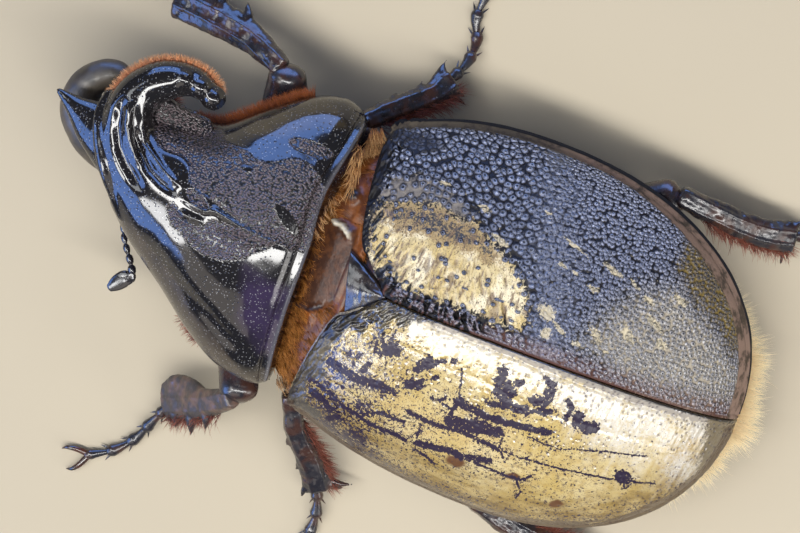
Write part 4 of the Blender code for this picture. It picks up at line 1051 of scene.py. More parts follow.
def leftRelief(places, across, along, fromMargin, fromBase):
    marks, none = leftMarks, np.zeros(len(places))
    u, v = planOf(places)
    du, dv = wobbled(places, 21, wingRelief["leftWobble"])
    uu, vv = u + du, v + dv
    ragged = cloudNoise(places, 0.5, 41)
    dark, halo, brown = none, none, none
    for line, width in marks["lines"]:
        near = nearLine(u + du * 0.3, v + dv * 0.3, line)[0]
        half = width * 0.5
        dark = np.maximum(dark, 1.0 - ramp(near, half - 0.9, half + min(0.4 + half, 2.4)))
        halo = np.maximum(halo, 1.0 - ramp(near, half, half + 9.0))
    for spot in marks["blotches"]:
        size = spotSize(uu, vv, *spot) + (ragged - 0.5) * 1.5
        dark = np.maximum(dark, 1.0 - ramp(size, 0.75, 1.5))
        halo = np.maximum(halo, 1.0 - ramp(size, 1.0, 2.4))
    for spot in marks["brown"]:
        brown = np.maximum(brown, spotMask(uu, vv, spot, 0.3))
    speckle = (0.25 + 0.35 * cloudNoise(places, 3.2, 44) + 0.28 * (1.0 - ramp(u, 330.0, 450.0)) + halo * 0.16
               + 0.25 * (1.0 - ramp(fromMargin, 1.2, 3.2)) - 0.12 * ramp(u, 590.0, 660.0))
    # Grey base, black where the wrinkles run back from the scutellum
    base, baseBlack = areaMask(uu, vv, marks["base"], 4.0), areaMask(uu, vv, marks["baseBlack"], 5.0)
    folds = sheetNoise(across * 0.35, along * 1.2 + across * 0.5, places[:, 2] * 0.1, 0.62, 51, 2)
    wrinkle = 1.0 - np.abs(folds * 2.0 - 1.0)
    nearBase = np.maximum(baseBlack, 1.0 - ramp(fromBase, 0.8, 3.5))
    height = (wrinkle - 0.6) * wingRelief["leftWrinkles"] * nearBase
    height += (cloudNoise(places, 1.0, 61) - 0.5) * 0.06
    # Soft wrinkles across the middle, shallow lines along the back, a callus at the shoulder
    cross = sheetNoise(across * 0.3 + along * 0.25, along * 1.8, none, 1.0, 57, 2)
    middle = ramp(across, 0.8, 2.0) * (1.0 - ramp(across, 6.0, 10.0))
    bent = across - 0.8 * np.sin(along / 9.0)
    height += (cross - 0.5) * wingRelief["crossWrinkles"] * middle
    height -= bell(across, 0.95, 0.25) * wingRelief["grooveDepth"]
    height -= sum(bell(bent, rib, 0.35) for rib in wingRelief["ribs"]) * wingRelief["ribDepth"]
    height += spotMask(u, v, marks["callus"], 0.6) * wingRelief["callusHeight"]
    height += edgeRelief(across, fromMargin, fromBase)
    # Scattered pits, thicker along the suture
    near, _, number = cellNoise(across, along, wingRelief["pitSize"], 71, 0.9)
    pitted = bell(near, 0.0, wingRelief["pitRadius"]) * (number < 0.25 + 0.5 * (1.0 - ramp(across, 1.0, 3.0)))
    height -= pitted * wingRelief["pitDepth"]
    streak = sheetNoise(fromMargin * 1.6, along * 0.25, none, 1.0, 66) - 0.5
    # Whitish band beside the suture, widening toward the rear: a painted highlight of the glare along the
    # wing case
    rearShare = 3.6 * ramp(u, 510.0, 620.0)
    glare = 1.0 - ramp(across - rearShare + (cross - 0.5) * 5.0, 1.2, 4.2 + rearShare)
    paints = {
        "dark": dark, "brown": brown, "speckle": speckle, "pitted": pitted, "base": base,
        # black on the base, kept stronger in the wrinkle valleys than on their crests: real black with a
        # little painted shade in the valleys
        "baseBlack": np.clip(baseBlack * (1.75 - wrinkle), 0, 1),
        "margin": 1.0 - ramp(fromMargin + streak * 2.0, 0.3, 1.7),
        # olive-brown over the last few millimetres toward the margin, streaked: painted shade where the side
        # turns away from the light
        "sideways": np.clip((1.0 - ramp(fromMargin + streak * 4.0, 1.0, 7.5)) * 1.1, 0, 1),
        "apex": ramp(u + streak * 30.0, 676, 722) * (0.45 + 0.55 * (1.0 - ramp(fromMargin, 2.0, 6.0))),
        "yellow": spotMask(u, v, marks["yellow"], 0.6),
        "suture": 1.0 - ramp(across, 0.12, 0.3),
        "sutureBand": 1.0 - ramp(across + (ragged - 0.5) * 1.4, 0.45, 1.2),
        "paleBand": glare * ramp(u, 378.0, 420.0),
    }
    return height, paints


def rightRelief(places, across, along, fromMargin, fromBase):
    marks = rightMarks
    u, v = planOf(places)
    du, dv = wobbled(places, 22, wingRelief["rightWobble"])
    uu, vv = u + du, v + dv
    ragged = cloudNoise(places, 0.55, 42) - 0.5
    patch, wide = [areaMask(uu, vv, marks["patch"], soft) for soft in (12.0, 15.0)]
    smoky = areaMask(uu, vv, marks["smoky"], 9.0)
    band = 0.5 + 0.8 * ramp(along, 18.0, 36.0)
    # Granules with a pore in the middle, large near the shoulder, small toward the tip, few on the patch
    big = 1.0 - ramp(along + across * 0.25 + ragged * 4.0, 15.0, 24.0)
    inPatch = wide * ramp(across + ragged * 2.0, 1.6, 3.2)
    share = 1.0 - 0.84 * inPatch - 0.25 * smoky * (1.0 - wide)
    rings, domes = [], []
    for size, seed, jitter in wingRelief["granules"]:
        near, second, number = cellNoise(across, along, size, seed, jitter)
        # 1 where two granules meet, or at the foot of a lone one
        alone = near / (size * (wingRelief["aloneSizes"][0] - wingRelief["aloneSizes"][1] * inPatch))
        ring = np.maximum(2.0 * near / np.maximum(near + second, 1e-6), alone)
        ring = np.where(number < share, np.minimum(ring, 2.0), 2.0)
        rings.append(ring)
        domes.append(np.sqrt(np.clip(1.0 - ring * ring, 0.0, 1.0)) - 0.45 * bell(ring, 0.0, 0.34))
    granular = ramp(fromMargin, band, band + 0.4) * ramp(across, 0.2, 0.6) * ramp(fromBase, 0.8, 2.4)
    granular *= 1.0 - wingRelief["bareShare"] * spotMask(u, v, marks["bare"], 0.4)
    tall, low = wingRelief["domeHeights"]
    granule = np.maximum(domes[0] * big, domes[1] * (1 - big)) * granular
    granule *= tall * big + low * (1 - big) * (1 - 0.4 * ramp(along, 24.0, 42.0))
    fleck = np.maximum.reduce([spotMask(u + du * 0.8, v + dv * 0.8, spot, 0.7) for spot in marks["flecks"]])
    # Deep folds fan out from the scutellum through the patch, black beside it; the fold valleys are painted
    # dark as painted shade
    lean = across * (0.7 * ramp(along, 0.0, 12.0) - 0.3)
    folds = sheetNoise(across * 0.35, along * 1.1 + lean, places[:, 2] * 0.1, 0.6, 52, 2)
    wrinkle = 1.0 - np.abs(folds * 2.0 - 1.0)
    beside = (1.0 - ramp(across, 2.0, 5.5)) * (1.0 - ramp(along, 9.0, 17.0))
    nearBase = np.clip(1.0 - ramp(fromBase, 1.5, 5.0) + beside, 0, 1)
    foldZone = np.clip(areaMask(uu, vv, marks["folded"], 8.0) + nearBase, 0, 1)
    depth, more = wingRelief["rightWrinkles"]
    height = granule + (wrinkle - 0.6) * (depth + more * nearBase) * foldZone
    height += (cloudNoise(places, 2.5, 62) - 0.5) * 0.12 + edgeRelief(across, fromMargin, fromBase)
    paints = {
        "straw": np.clip(patch * ramp(across + (wrinkle - 0.6) * 4.0, 1.6, 3.6), 0, 1),
        "fleck": fleck, "bigRing": rings[0], "smallRing": rings[1], "bigShare": big, "granular": granular,
        # dark in the fold valleys, from the same relief: painted shade
        "inFolds": np.clip((1.0 - wrinkle) * 2.6, 0, 1) * nearBase,
        "creased": np.clip((1.0 - wrinkle) * 1.6, 0, 1) * foldZone,
        "dusty": areaMask(uu, vv, marks["dusty"], 30.0) * (0.7 + 0.6 * cloudNoise(places, 2.4, 77)),
        "smoky": smoky, "olive": areaMask(uu, vv, marks["olive"], 12.0),
        "margin": 2.0 - ramp(fromMargin + ragged * 0.3, band, band + 0.25) - ramp(fromMargin, 0.12, 0.22),
        "suture": 1.0 - ramp(across, 0.8, 3.8),
        "ochre": patch * (1.0 - ramp(v + du * 2.0 - (u - 400.0) * 0.35, 215.0, 246.0)),
    }
    return height, paints


wingLooks = {
    "straw": (0.46, 0.345, 0.13),
    "strawPale": (0.54, 0.44, 0.23),
    "strawDeep": (0.36, 0.23, 0.055),
    "strawWhite": (0.66, 0.58, 0.4),
    "fleck": (0.56, 0.49, 0.35),
    "ochre": (0.27, 0.18, 0.06),
    # dark brown of the grain lines, and of the painted shade in the fold valleys
    "crease": (0.13, 0.075, 0.028),
    "purpleBlack": (0.022, 0.015, 0.034),
    "brown": (0.11, 0.05, 0.022),
    # olive-brown painted shade toward the margin
    "oliveMarginShade": (0.19, 0.12, 0.03),
    "marginBrown": (0.075, 0.046, 0.024),
    "apexOlive": (0.1, 0.072, 0.03),
    "apexYellow": (0.4, 0.25, 0.03),
    "greyBase": (0.06, 0.055, 0.05),
    "greyBand": (0.3, 0.27, 0.24),
    # whitish painted highlight beside the suture
    "paleBand": (0.6, 0.57, 0.52),
    "black": (0.01, 0.009, 0.01),
    "slateGround": (0.009, 0.008, 0.01),
    "slateTops": (0.028, 0.032, 0.05),
    "smoke": (0.21, 0.19, 0.18),
    "dust": (0.34, 0.3, 0.24),
    "sutureRed": (0.1, 0.04, 0.028),
    "oliveBand": (0.2, 0.14, 0.035),
    # light rims of the granules, painted highlights in place of their glints, and the smooth rim of the wing
    # case
    "slateGlintRims": (0.32, 0.355, 0.52),
    "frontGlintRims": (0.24, 0.275, 0.42),
    "dustGlintRims": (0.62, 0.59, 0.56),
    "oliveGlintRims": (0.16, 0.115, 0.04),
    "sutureGlintRims": (0.46, 0.36, 0.35),
    "rim": (0.23, 0.155, 0.12),
    "rimFront": (0.12, 0.095, 0.062),
    "rimDark": (0.06, 0.044, 0.03),
    # cracks: wave, stretch, where they begin, strength
    "cracks": ((1.1, (1.0, 0.35, 1.0), 0.45, 0.8), (0.8, (0.8, 0.5, 1.0), 0.52, 0.7),
               (1.5, (1.0, 0.1, 1.0), 0.46, 0.75)),
}


def leftWingFinish():
    material, looks = newMaterial("strawWingCase"), wingLooks
    coarse, fine = noise(0.34, 3.0, 0.65), noise(0.14, 2.0, 0.6)
    colour = blend(step(noise(6.0, 4.0), 0.35, 0.65), looks["straw"], looks["strawPale"])
    colour = blend(step(noise(0.9), 0.42, 0.62) * 0.35, colour, looks["strawDeep"])
    streak = step(noise(1.6, 3.0, 0.6, (1.0, 0.3, 1.0)), 0.35, 0.65, 0.35, 1.0)
    # Painted shade: streaked olive-brown toward the margin
    colour = blend(mask("sideways") * streak, colour, looks["oliveMarginShade"])
    colour = blend(step(mask("yellow") * streak, 0.25, 0.75) * 0.85, colour, looks["apexYellow"])
    # Dust of fine black specks, and thin cracks
    level = (mask("speckle") - 0.5) * 0.3
    specks = larger(step(coarse + level, 0.585, 0.615), step(fine + level, 0.605, 0.645) * 0.85)
    colour = blend(specks, colour, looks["purpleBlack"])
    for size, stretch, low, share in looks["cracks"]:
        vein = mathNode("ABSOLUTE", noise(size, 4.0, 0.7, stretch, 1.2) - 0.5)
        crack = step(vein, 0.008, 0.0) * step(noise(4.0 * size, 2.0), low, low + 0.15)
        colour = blend(crack * share, colour, looks["purpleBlack"])
    colour = blend(mask("brown"), colour, looks["brown"])
    # Painted highlight: the streaky whitish glare band beside the suture
    glare = mask("paleBand") * step(coarse, 0.3, 0.6, 0.35, 0.9)
    glare = glare * step(noise(2.6, 4.0, 0.6, (1.0, 0.6, 1.0)), 0.36, 0.54, 0.35, 1.0)
    colour = blend(glare, colour, looks["paleBand"])
    torn = (coarse - 0.5) * 2.9 + (fine - 0.5) * 1.3
    dark = step(mask("dark") + torn, 0.46, 0.54)
    colour = blend(dark, colour, looks["purpleBlack"])
    soft = torn * 0.4
    for key, tone in (("sutureBand", "greyBand"), ("apex", "apexOlive"), ("base", "greyBase"),
                      ("baseBlack", "black"), ("margin", "marginBrown")):
        colour = blend(step(mask(key) + soft, 0.3, 0.7) * 0.88, colour, looks[tone])
    colour = blend(mask("pitted") * 0.8, colour, looks["purpleBlack"])
    colour = blend(mask("suture"), colour, looks["black"])
    normal = bump(noise(0.9), 0.05, 0.5, bump(coarse, 0.03, 0.6))
    dull = larger(dark, mask("base") * 0.6)
    roughness = step(noise(1.5), 0.3, 0.7, 0.1, 0.22) + mask("margin") * 0.16 + dull * 0.16
    return setShader(material, colour=colour, roughness=roughness, normal=normal, ior=1.62,
                     specular=0.5 - dull * 0.34)


def rightWingFinish():
    material, looks = newMaterial("slateWingCase"), wingLooks
    coarse, fine = noise(0.34, 3.0, 0.65), noise(0.14, 2.0, 0.6)
    torn = (coarse - 0.5) * 1.8 + (fine - 0.5) * 0.8
    # Top, light edge, pore and slope of each granule, from the distance to its middle; the light edge is a
    # painted highlight ring
    share = mask("bigShare")
    layers = []
    for key, weight in (("bigRing", share), ("smallRing", 1.0 - share)):
        ring, weight = mask(key), weight * mask("granular")
        pore = step(ring, 0.3, 0.12)
        edge = step(ring, 0.3, 0.55) * step(ring, 0.94, 0.8)
        slope = step(ring, 1.02, 0.45) - pore * 0.4
        layers.append([part * weight for part in (step(ring, 1.0, 0.72), edge, pore, slope)])
    top, edge, pore, dome = [larger(*pair) for pair in zip(*layers)]
    ground = looks["slateGround"]
    for key, tone, weight in (("smoky", "smoke", 0.85), ("dusty", "dust", 0.95), ("olive", "oliveBand", 0.85),
                              ("suture", "sutureRed", 0.7)):
        ground = blend(step(mask(key) + torn * 0.9, 0.3, 1.0) * weight, ground, looks[tone])
    # The straw patch, marbled, creased and dotted, with painted shade in its fold valleys
    colour = blend(step(noise(5.0, 4.0), 0.35, 0.65), looks["straw"], looks["strawPale"])
    colour = blend(step(noise(2.6), 0.46, 0.62), colour, looks["strawWhite"])
    marble = mask("ochre") + torn * 0.8
    colour = blend(step(marble, 0.35, 0.8), colour, looks["ochre"])
    colour = blend(step(marble, 0.85, 1.05), colour, looks["black"])
    grain = noise(0.7, 4.0, 0.65, (0.4, 1.4, 1.0))
    colour = blend(step(grain, 0.52, 0.64) * 0.9, colour, looks["crease"])
    # Painted shade: dark brown in the fold valleys
    colour = blend(step(mask("creased"), 0.5, 0.9) * 0.7, colour, looks["crease"])
    straw = step(mask("straw") + torn * 1.2, 0.38, 0.62) * (1.0 - step(fine, 0.6, 0.64))
    ground = blend(straw, ground, colour)
    # Painted highlight colour of the granules' light edges: blue-grey, tinted in the dusty, olive, suture and
    # smoky zones
    light = blend(share, looks["slateGlintRims"], looks["frontGlintRims"])
    for key, tone, weight in (("dusty", "dustGlintRims", 0.9), ("olive", "oliveGlintRims", 0.85),
                              ("suture", "sutureGlintRims", 0.6), ("smoky", "smoke", 0.4)):
        light = blend(mathNode("MULTIPLY", mask(key), weight, clamp=True), light, looks[tone])
    colour = blend(top, ground, looks["slateTops"])
    # Painted highlight: the light edge of each granule
    colour = blend(edge * step(coarse, 0.3, 0.6, 0.35, 1.0), colour, light)
    colour = blend(step(mask("fleck") + torn * 1.2, 0.4, 0.65) * 0.8, colour, looks["fleck"])
    colour = blend(pore * step(noise(1.3, 2.0), 0.42, 0.58, 0.1, 0.65), colour, looks["black"])
    # Painted shade: black in the fold valleys near the base
    colour = blend(step(mask("inFolds"), 0.55, 0.85), colour, looks["black"])
    rim = blend(share, looks["rim"], looks["rimFront"])
    rim = blend(step(noise(1.6, 4.0, 0.6), 0.45, 0.65), rim, looks["rimDark"])
    colour = blend(step(mask("margin"), 0.0, 1.0), colour, rim)
    colour = blend(step(mask("margin"), 1.2, 1.7), colour, looks["black"])
    normal = bump(coarse, 0.03, 0.6, bump(grain, 0.12, 0.8, bump(dome, 0.3)))
    roughness = mathNode("ADD", step(top, 0.0, 1.0, 0.5, 0.14), mask("margin") * 0.3, clamp=True)
    gloss = step(larger(top, straw), 0.0, 1.0, 0.14, 0.55)
    return setShader(material, colour=colour, roughness=roughness, normal=normal, ior=1.62, specular=gloss)


# Collar, hind body and scutellum

coreShape = {
    "sideInset": 2.2,
    "topInset": 1.3,
    "belly": 3.0,
    "bellyPower": 1.35,
    # the belly rises from this y over this run to the tail's height, and a little before the chest
    "bellyY": 14.0,
    "bellyRun": 27.0,
    "bellyCurve": 2.2,
    "pygidium": 8.2,
    "chestRise": 1.6,
    "chestRun": 9.0,
    "collarFront": -9.3,
    "collarRear": -3.95,
    "collarDip": 1.3,
    "stepY": -2.2,
    "stepRun": 2.6,
    "collarBow": 1.0,
    "abdomenRear": 39.15,
    "plateY": 13.0,
    "plateLength": 4.3,
    "plateHeight": 0.3,
    "chestGroove": 0.35,
}


def limited(value):
    return min(max(value, 0.0), 1.0)


def bellyHeight(y):
    shape = coreShape
    share = limited((y - shape["bellyY"]) / shape["bellyRun"]) ** shape["bellyCurve"]
    rise = (shape["pygidium"] - shape["belly"]) * share
    return shape["belly"] + shape["chestRise"] * limited(-y / shape["chestRun"]) + rise


def coreTop(y):
    dip = coreShape["collarDip"] * limited((coreShape["stepY"] - y) / coreShape["stepRun"])
    return float(crestHeight(y, coreShape["topInset"])) - dip


def coreRing(y, sides):
    middle, top = float(marginHeight(y)), coreTop(y)
    bottom = min(bellyHeight(y), middle - 0.6)
    angles = 2 * math.pi * (np.arange(sides) + 0.5) / sides
    across, rise = twoPowerCircle(angles, wingShape["power"], coreShape["bellyPower"])
    left, right = [float(halfWidth(y, side, coreShape["sideInset"])) for side in (1, -1)]
    x = across * np.where(across > 0, left, right)
    z = middle + rise * np.where(rise > 0, top - middle, middle - bottom)
    nearFront = coreShape["collarBow"] * limited((coreShape["collarRear"] - y) / shieldShape["bowRun"])
    return np.stack([x, y - rearBow(x, rise) * nearFront, z], axis=1)


collarMarks = {
    "plate": [(320, 222), (342, 220), (359, 230), (356, 266), (340, 302), (318, 308), (303, 303), (308, 288),
              (315, 255)],
    "knob": ((355, 197), (7, 6), 0),
    "highlightRidge": [(338, 222), (347, 228), (352, 236)],
    "fold": [(300, 304), (312, 309), (325, 306)],
    # how high the plate, knob, ridge and fold stand, and the whole upper side; the ridge's crest is painted
    # pale as a painted highlight
    "heights": (0.35, 0.6, 0.7, 0.5, 0.5),
}


def makeCollar():
    marks = collarMarks
    ys = np.linspace(coreShape["collarFront"], coreShape["collarRear"], 44)
    collar = loftMesh("collarSkin", [coreRing(y, 260) for y in ys])
    places = vertPlaces(collar)
    up = ramp(vertNormals(collar)[:, 2], 0.0, 0.4)
    u, v = planOf(places)
    plate = areaMask(u, v, marks["plate"], 3.0) * up
    knob = spotMask(u, v, marks["knob"], 0.5) * up
    highlightRidge = lineMask(u, v, marks["highlightRidge"], 1.5, 2.5) * up
    fold = lineMask(u, v, marks["fold"], 1.0, 2.5) * up
    height = sum(area * high for area, high in zip((plate, knob, highlightRidge, fold, up), marks["heights"]))
    raiseSkin(collar, height + (cloudNoise(places, 1.4, 71) - 0.5) * (0.3 - 0.18 * plate))
    paint(collar, "plate", plate)
    paint(collar, "knob", np.maximum(knob, fold))
    paint(collar, "highlightRidge", highlightRidge)
    return collar


collarLooks = {
    "amber": (0.2, 0.062, 0.012),
    "amberDark": (0.09, 0.027, 0.008),
    "plate": (0.085, 0.031, 0.012),
    "plateDark": (0.04, 0.015, 0.008),
    "knob": (0.012, 0.012, 0.018),
    # pale colour on the ridge: a painted highlight
    "highlightRidge": (0.6, 0.55, 0.45),
}


def collarFinish():
    material, looks = newMaterial("collarMembrane"), collarLooks
    colour = blend(step(noise(1.6, 4.0), 0.4, 0.6), looks["amber"], looks["amberDark"])
    plate = blend(step(noise(0.9, 4.0, 0.6), 0.4, 0.62), looks["plate"], looks["plateDark"])
    # The ridge's pale colour is a painted highlight
    for key, tone in (("plate", plate), ("knob", looks["knob"]), ("highlightRidge", looks["highlightRidge"])):
        colour = blend(mask(key), colour, tone)
    return setShader(material, colour=colour, roughness=0.3, normal=bump(noise(0.3), 0.05, 0.6), specular=0.3)


def makeHindBody():
    ys = np.linspace(coreShape["collarRear"] + 0.3, coreShape["abdomenRear"], 120)
    body = loftMesh("hindBodySkin", [coreRing(y, 120) for y in ys])
    places = vertPlaces(body)
    # Belly plates, each overlapping the next, and a groove along the chest before them
    lower = ramp(-vertNormals(body)[:, 2], -0.1, 0.3)
    behind = places[:, 1] > coreShape["plateY"]
    phase = np.mod((places[:, 1] - coreShape["plateY"]) / coreShape["plateLength"], 1.0)
    plates = (ramp(phase, 0.0, 0.9) - ramp(phase, 0.9, 1.0)) * coreShape["plateHeight"]
    height = np.where(behind, plates, -bell(places[:, 0], 0.0, 0.6) * coreShape["chestGroove"]) * lower
    raiseSkin(body, height + (cloudNoise(places, 1.2, 81) - 0.5) * 0.1)
    return body


scutellumShape = {
    "baseY": -4.4,
    "apexY": 0.1,
    "half": 3.8,
    "shift": 0.75,
    "slant": 0.27,
    "depth": 3.0,
    "sunk": 0.35,
    "dip": 0.2,
    "lean": 0.1,
    "crease": 0.28,
}


def makeScutellum():
    shape = scutellumShape
    across, rise = superCircle(roundAngles(72), 3.0)
    rings = []
    for share in np.linspace(0.0, 1.0, 61):
        y = shape["baseY"] + (shape["apexY"] - shape["baseY"]) * share
        half = shape["half"] * (1.0 - share) ** 0.85 + 0.18
        top = float(crestHeight(y)) - shape["sunk"] - shape["dip"] * (1.0 - share)
        crease = shape["crease"] * bell(across, -0.1, 0.25) * (rise > 0) * (1.0 - share * 0.4)
        lean = shape["lean"] * half * np.maximum(across, 0.0)
        rings.append(np.stack([shape["shift"] * (1.0 - share) + half * across,
                               y + shape["slant"] * half * across * (1.0 - share),
                               top - shape["depth"] / 2 * (1 - rise) + crease - lean], axis=1))
    plate = loftMesh("scutellumPlate", rings)
    roughen(plate, (0.6, 91, 0.12, 3))
    return plate


# Legs

legShape = {
    "fore_right": {
        "femur": [(-2.4, -17.0, 4.9), (-5.8, -17.5, 5.9), (-12.2, -18.7, 8.3), (-17.6, -19.8, 11.8)],
        "tibia": [(-18.4, -20.8, 12.0), (-19.9, -25.0, 10.2), (-20.5, -29.2, 8.4), (-20.7, -35.2, 5.8)],
        "tarsus": [(-20.7, -34.6, 5.9), (-21.2, -38.6, 4.0), (-22.6, -43.0, 1.2), (-25.0, -46.8, 0.66),
                   (-27.0, -49.4, 0.66)],
        "outward": (-1.0, 0.1, 0.0),
    },
    "fore_left": {
        "femur": [(0.4, -17.0, 4.9), (3.9, -17.0, 5.9), (11.2, -14.9, 8.4), (17.9, -12.2, 12.5)],
        "tibia": [(18.8, -12.5, 13.0), (21.2, -15.4, 9.2), (22.9, -18.0, 5.6), (24.4, -20.3, 2.6)],
        "tarsus": [(24.0, -19.8, 3.0), (27.4, -21.4, 1.6), (30.1, -22.6, 0.66), (32.5, -24.6, 0.66),
                   (34.4, -27.6, 0.66)],
        "outward": (0.8, 0.55, 0.2),
    },
    "mid_right": {
        "femur": [(-2.3, -0.2, 3.9), (-5.6, -1.4, 4.4), (-10.0, -6.0, 5.8), (-14.1, -10.5, 9.2)],
        "tibia": [(-14.7, -11.2, 10.0), (-17.9, -7.9, 7.8), (-21.2, -4.2, 5.0), (-23.2, -3.0, 4.0)],
        "tarsus": [(-22.7, -3.3, 4.1), (-25.6, -2.0, 2.4), (-28.3, -1.9, 0.9), (-30.8, -2.9, 0.66),
                   (-34.4, -2.7, 0.66)],
        "outward": (-0.7, -0.7, 0.0),
    },
    "mid_left": {
        "femur": [(2.3, -0.2, 3.9), (5.6, -1.4, 4.4), (11.0, -4.3, 6.2), (15.6, -6.3, 9.3)],
        "tibia": [(16.5, -6.7, 9.9), (20.6, -4.9, 7.6), (24.1, -2.0, 5.0), (26.9, -0.2, 3.2)],
        "tarsus": [(26.4, -0.6, 3.5), (29.8, 0.5, 1.7), (32.8, 0.6, 0.66), (35.4, -0.3, 0.66),
                   (38.2, -0.7, 0.66)],
        "outward": (0.55, -0.8, 0.0),
    },
    "hind_right": {
        "femur": [(-2.3, 8.6, 3.9), (-6.4, 9.9, 4.2), (-13.6, 17.0, 5.0), (-20.4, 25.4, 7.9)],
        "tibia": [(-21.1, 26.4, 8.8), (-20.5, 31.0, 7.6), (-20.2, 36.0, 5.4), (-20.9, 40.0, 3.6)],
        "tarsus": [(-21.0, 39.0, 4.0), (-21.6, 43.2, 1.9), (-22.2, 46.4, 0.66), (-23.2, 49.4, 0.66),
                   (-24.3, 52.2, 0.66)],
        "outward": (-1.0, 0.15, 0.0),
    },
    "hind_left": {
        "femur": [(2.3, 8.6, 3.9), (6.4, 9.8, 4.3), (12.8, 12.6, 5.9), (19.2, 16.2, 8.5)],
        "tibia": [(20.0, 16.9, 9.1), (21.6, 22.0, 7.2), (22.6, 27.0, 5.2), (23.4, 31.6, 3.5)],
        "tarsus": [(23.3, 31.1, 3.7), (24.6, 34.8, 1.7), (26.0, 37.6, 0.66), (27.6, 40.4, 0.66),
                   (29.0, 43.0, 0.66)],
        "outward": (1.0, -0.2, 0.0),
    },
}
legSizes = {
    "femurWidths": [1.9, 1.6, 2.8, 2.2],
    "femurHeights": [1.6, 1.5, 2.1, 1.8],
    "tibiaWidths": {"fore": [1.2, 1.75, 2.1, 2.3], "mid": [1.05, 1.3, 1.5, 1.9],
                    "hind": [1.2, 1.5, 1.7, 1.9]},
    "tibiaHeights": [1.1, 1.0, 0.95, 0.85],
    # share along the tibia, depth of the root, reach out, reach ahead, radius
    "foreTeeth": [(0.42, 0.6, 3.2, 1.0, 0.95), (0.66, 0.6, 3.9, 1.3, 1.1), (0.9, 1.3, 3.0, 1.0, 0.9)],
    "otherTeeth": [(0.42, 0.6, 1.7, 1.2, 0.6), (0.68, 0.6, 1.9, 1.2, 0.6), (0.97, 1.3, 2.2, 1.2, 0.6)],
    # share along the left fore tibia, distance inward, half width, half height
    "flange": [(0.4, 1.0, 0.8, 0.6), (0.6, 1.5, 1.5, 0.75), (0.8, 1.8, 1.6, 0.75), (0.97, 1.5, 1.1, 0.6)],
    # root ahead, tip ahead of it, reach inward
    "spurs": [(-0.3, 1.7, 3.9), (0.5, 1.1, 3.0)],
    # radii along one joint of the tarsus, as shares of its own radius
    "jointRadii": np.array([0.5, 0.66, 0.8, 0.95, 1.12, 0.9]),
    "tarsusRadius": 0.72,
    # keels of the tibia: distance from its middle, width and height as a share of the skin's waves
    "keel": (0.75, 0.22, 0.4),
    "waves": {"plain": 0.4, "fore_left": 0.25},
    "clawRadii": [0.4, 0.36, 0.24, 0.05],
    # along and across as shares of length and spread, then up
    "clawPath": [(0.3, 0.75, 0.15), (0.7, 1.05, 0.1), (1.0, 1.0, -0.3)],
    "clawLength": 2.6,
    "clawSpread": 1.25,
    "voxel": 0.15,
    "floorGap": 0.02,
}
upward = np.array([0.0, 0.0, 1.0])


def makeTibia(leg, finish):
    kind, points, out = leg.split("_")[0], legShape[leg]["tibia"], unit(legShape[leg]["outward"])
    pieces = [tubePiece("tibia", points, legSizes["tibiaWidths"][kind], legSizes["tibiaHeights"], cap=0.25)]
    for share, deep, reach, onward, radius in legSizes["foreTeeth" if kind == "fore" else "otherTeeth"]:
        spot, ahead = pathPoint(points, share)
        tip = spot + out * reach + ahead * onward
        pieces.append(spikePiece(spot + out * deep, tip, radius, ahead * -0.25))
    if leg == "fore_left":
        # broad flange on the inner side, toward the foot
        shares, inward, wide, high = zip(*legSizes["flange"])
        path = pathPoints(points, shares)[0] - out * np.array(inward)[:, None]
        pieces.append(tubePiece("flange", path, wide, high, sides=28, steps=24))
    if kind != "fore":
        spot, ahead = pathPoint(points, 0.95)
        for back, long, reach in legSizes["spurs"]:
            root, tip = spot - out * 1.2 + ahead * back, spot - out * reach + ahead * (long + back)
            pieces.append(spikePiece(root, tip, 0.42, ahead * 0.3))
    tibia = joinPieces(leg.replace("_", "") + "TibiaSkin", pieces)
    remeshPiece(tibia, legSizes["voxel"], 8, 0.5)
    places = vertPlaces(tibia)
    # Two keels along the upper face, a wavy skin, and darker teeth
    centres = pathPoints(points, np.linspace(0, 1, 400))[0]
    nearest = np.argmin(np.linalg.norm(places[:, None] - centres[None], axis=2), axis=1)
    fromCentre = places - centres[nearest]
    offset = np.abs(fromCentre @ levelAcross(pathPoint(points, 0.5)[1]))
    keelPlace, keelWidth, keelHeight = legSizes["keel"]
    keel = bell(offset, keelPlace, keelWidth) * ramp(vertNormals(tibia)[:, 2], 0.2, 0.6)
    waves = legSizes["waves"].get(leg, legSizes["waves"]["plain"])
    raiseSkin(tibia, (keel * keelHeight + cloudNoise(places, 1.6, 7, 2) - 0.5) * waves
              + (cloudNoise(places, 0.5, 8) - 0.5) * 0.12)
    paint(tibia, "toothTip", ramp(fromCentre @ out + (cloudNoise(places, 0.8, 9) - 0.5) * 0.8, 0.7, 1.9))
    finishPiece(tibia, finish, [leg + "_tibia"])


def makeFemur(leg, finish):
    femur = tubePiece(leg.replace("_", "") + "FemurSkin", legShape[leg]["femur"], legSizes["femurWidths"],
                      legSizes["femurHeights"], sides=40, steps=60, cap=0.62)
    roughen(femur, (1.3, 6, 0.14, 3))
    finishPiece(femur, finish, [leg + "_femur"])


def joinAboveFloor(name, pieces):
    joined = joinPieces(name, pieces)
    places = vertPlaces(joined)
    places[:, 2] = np.maximum(places[:, 2], legSizes["floorGap"])
    setPlaces(joined, places)
    return joined


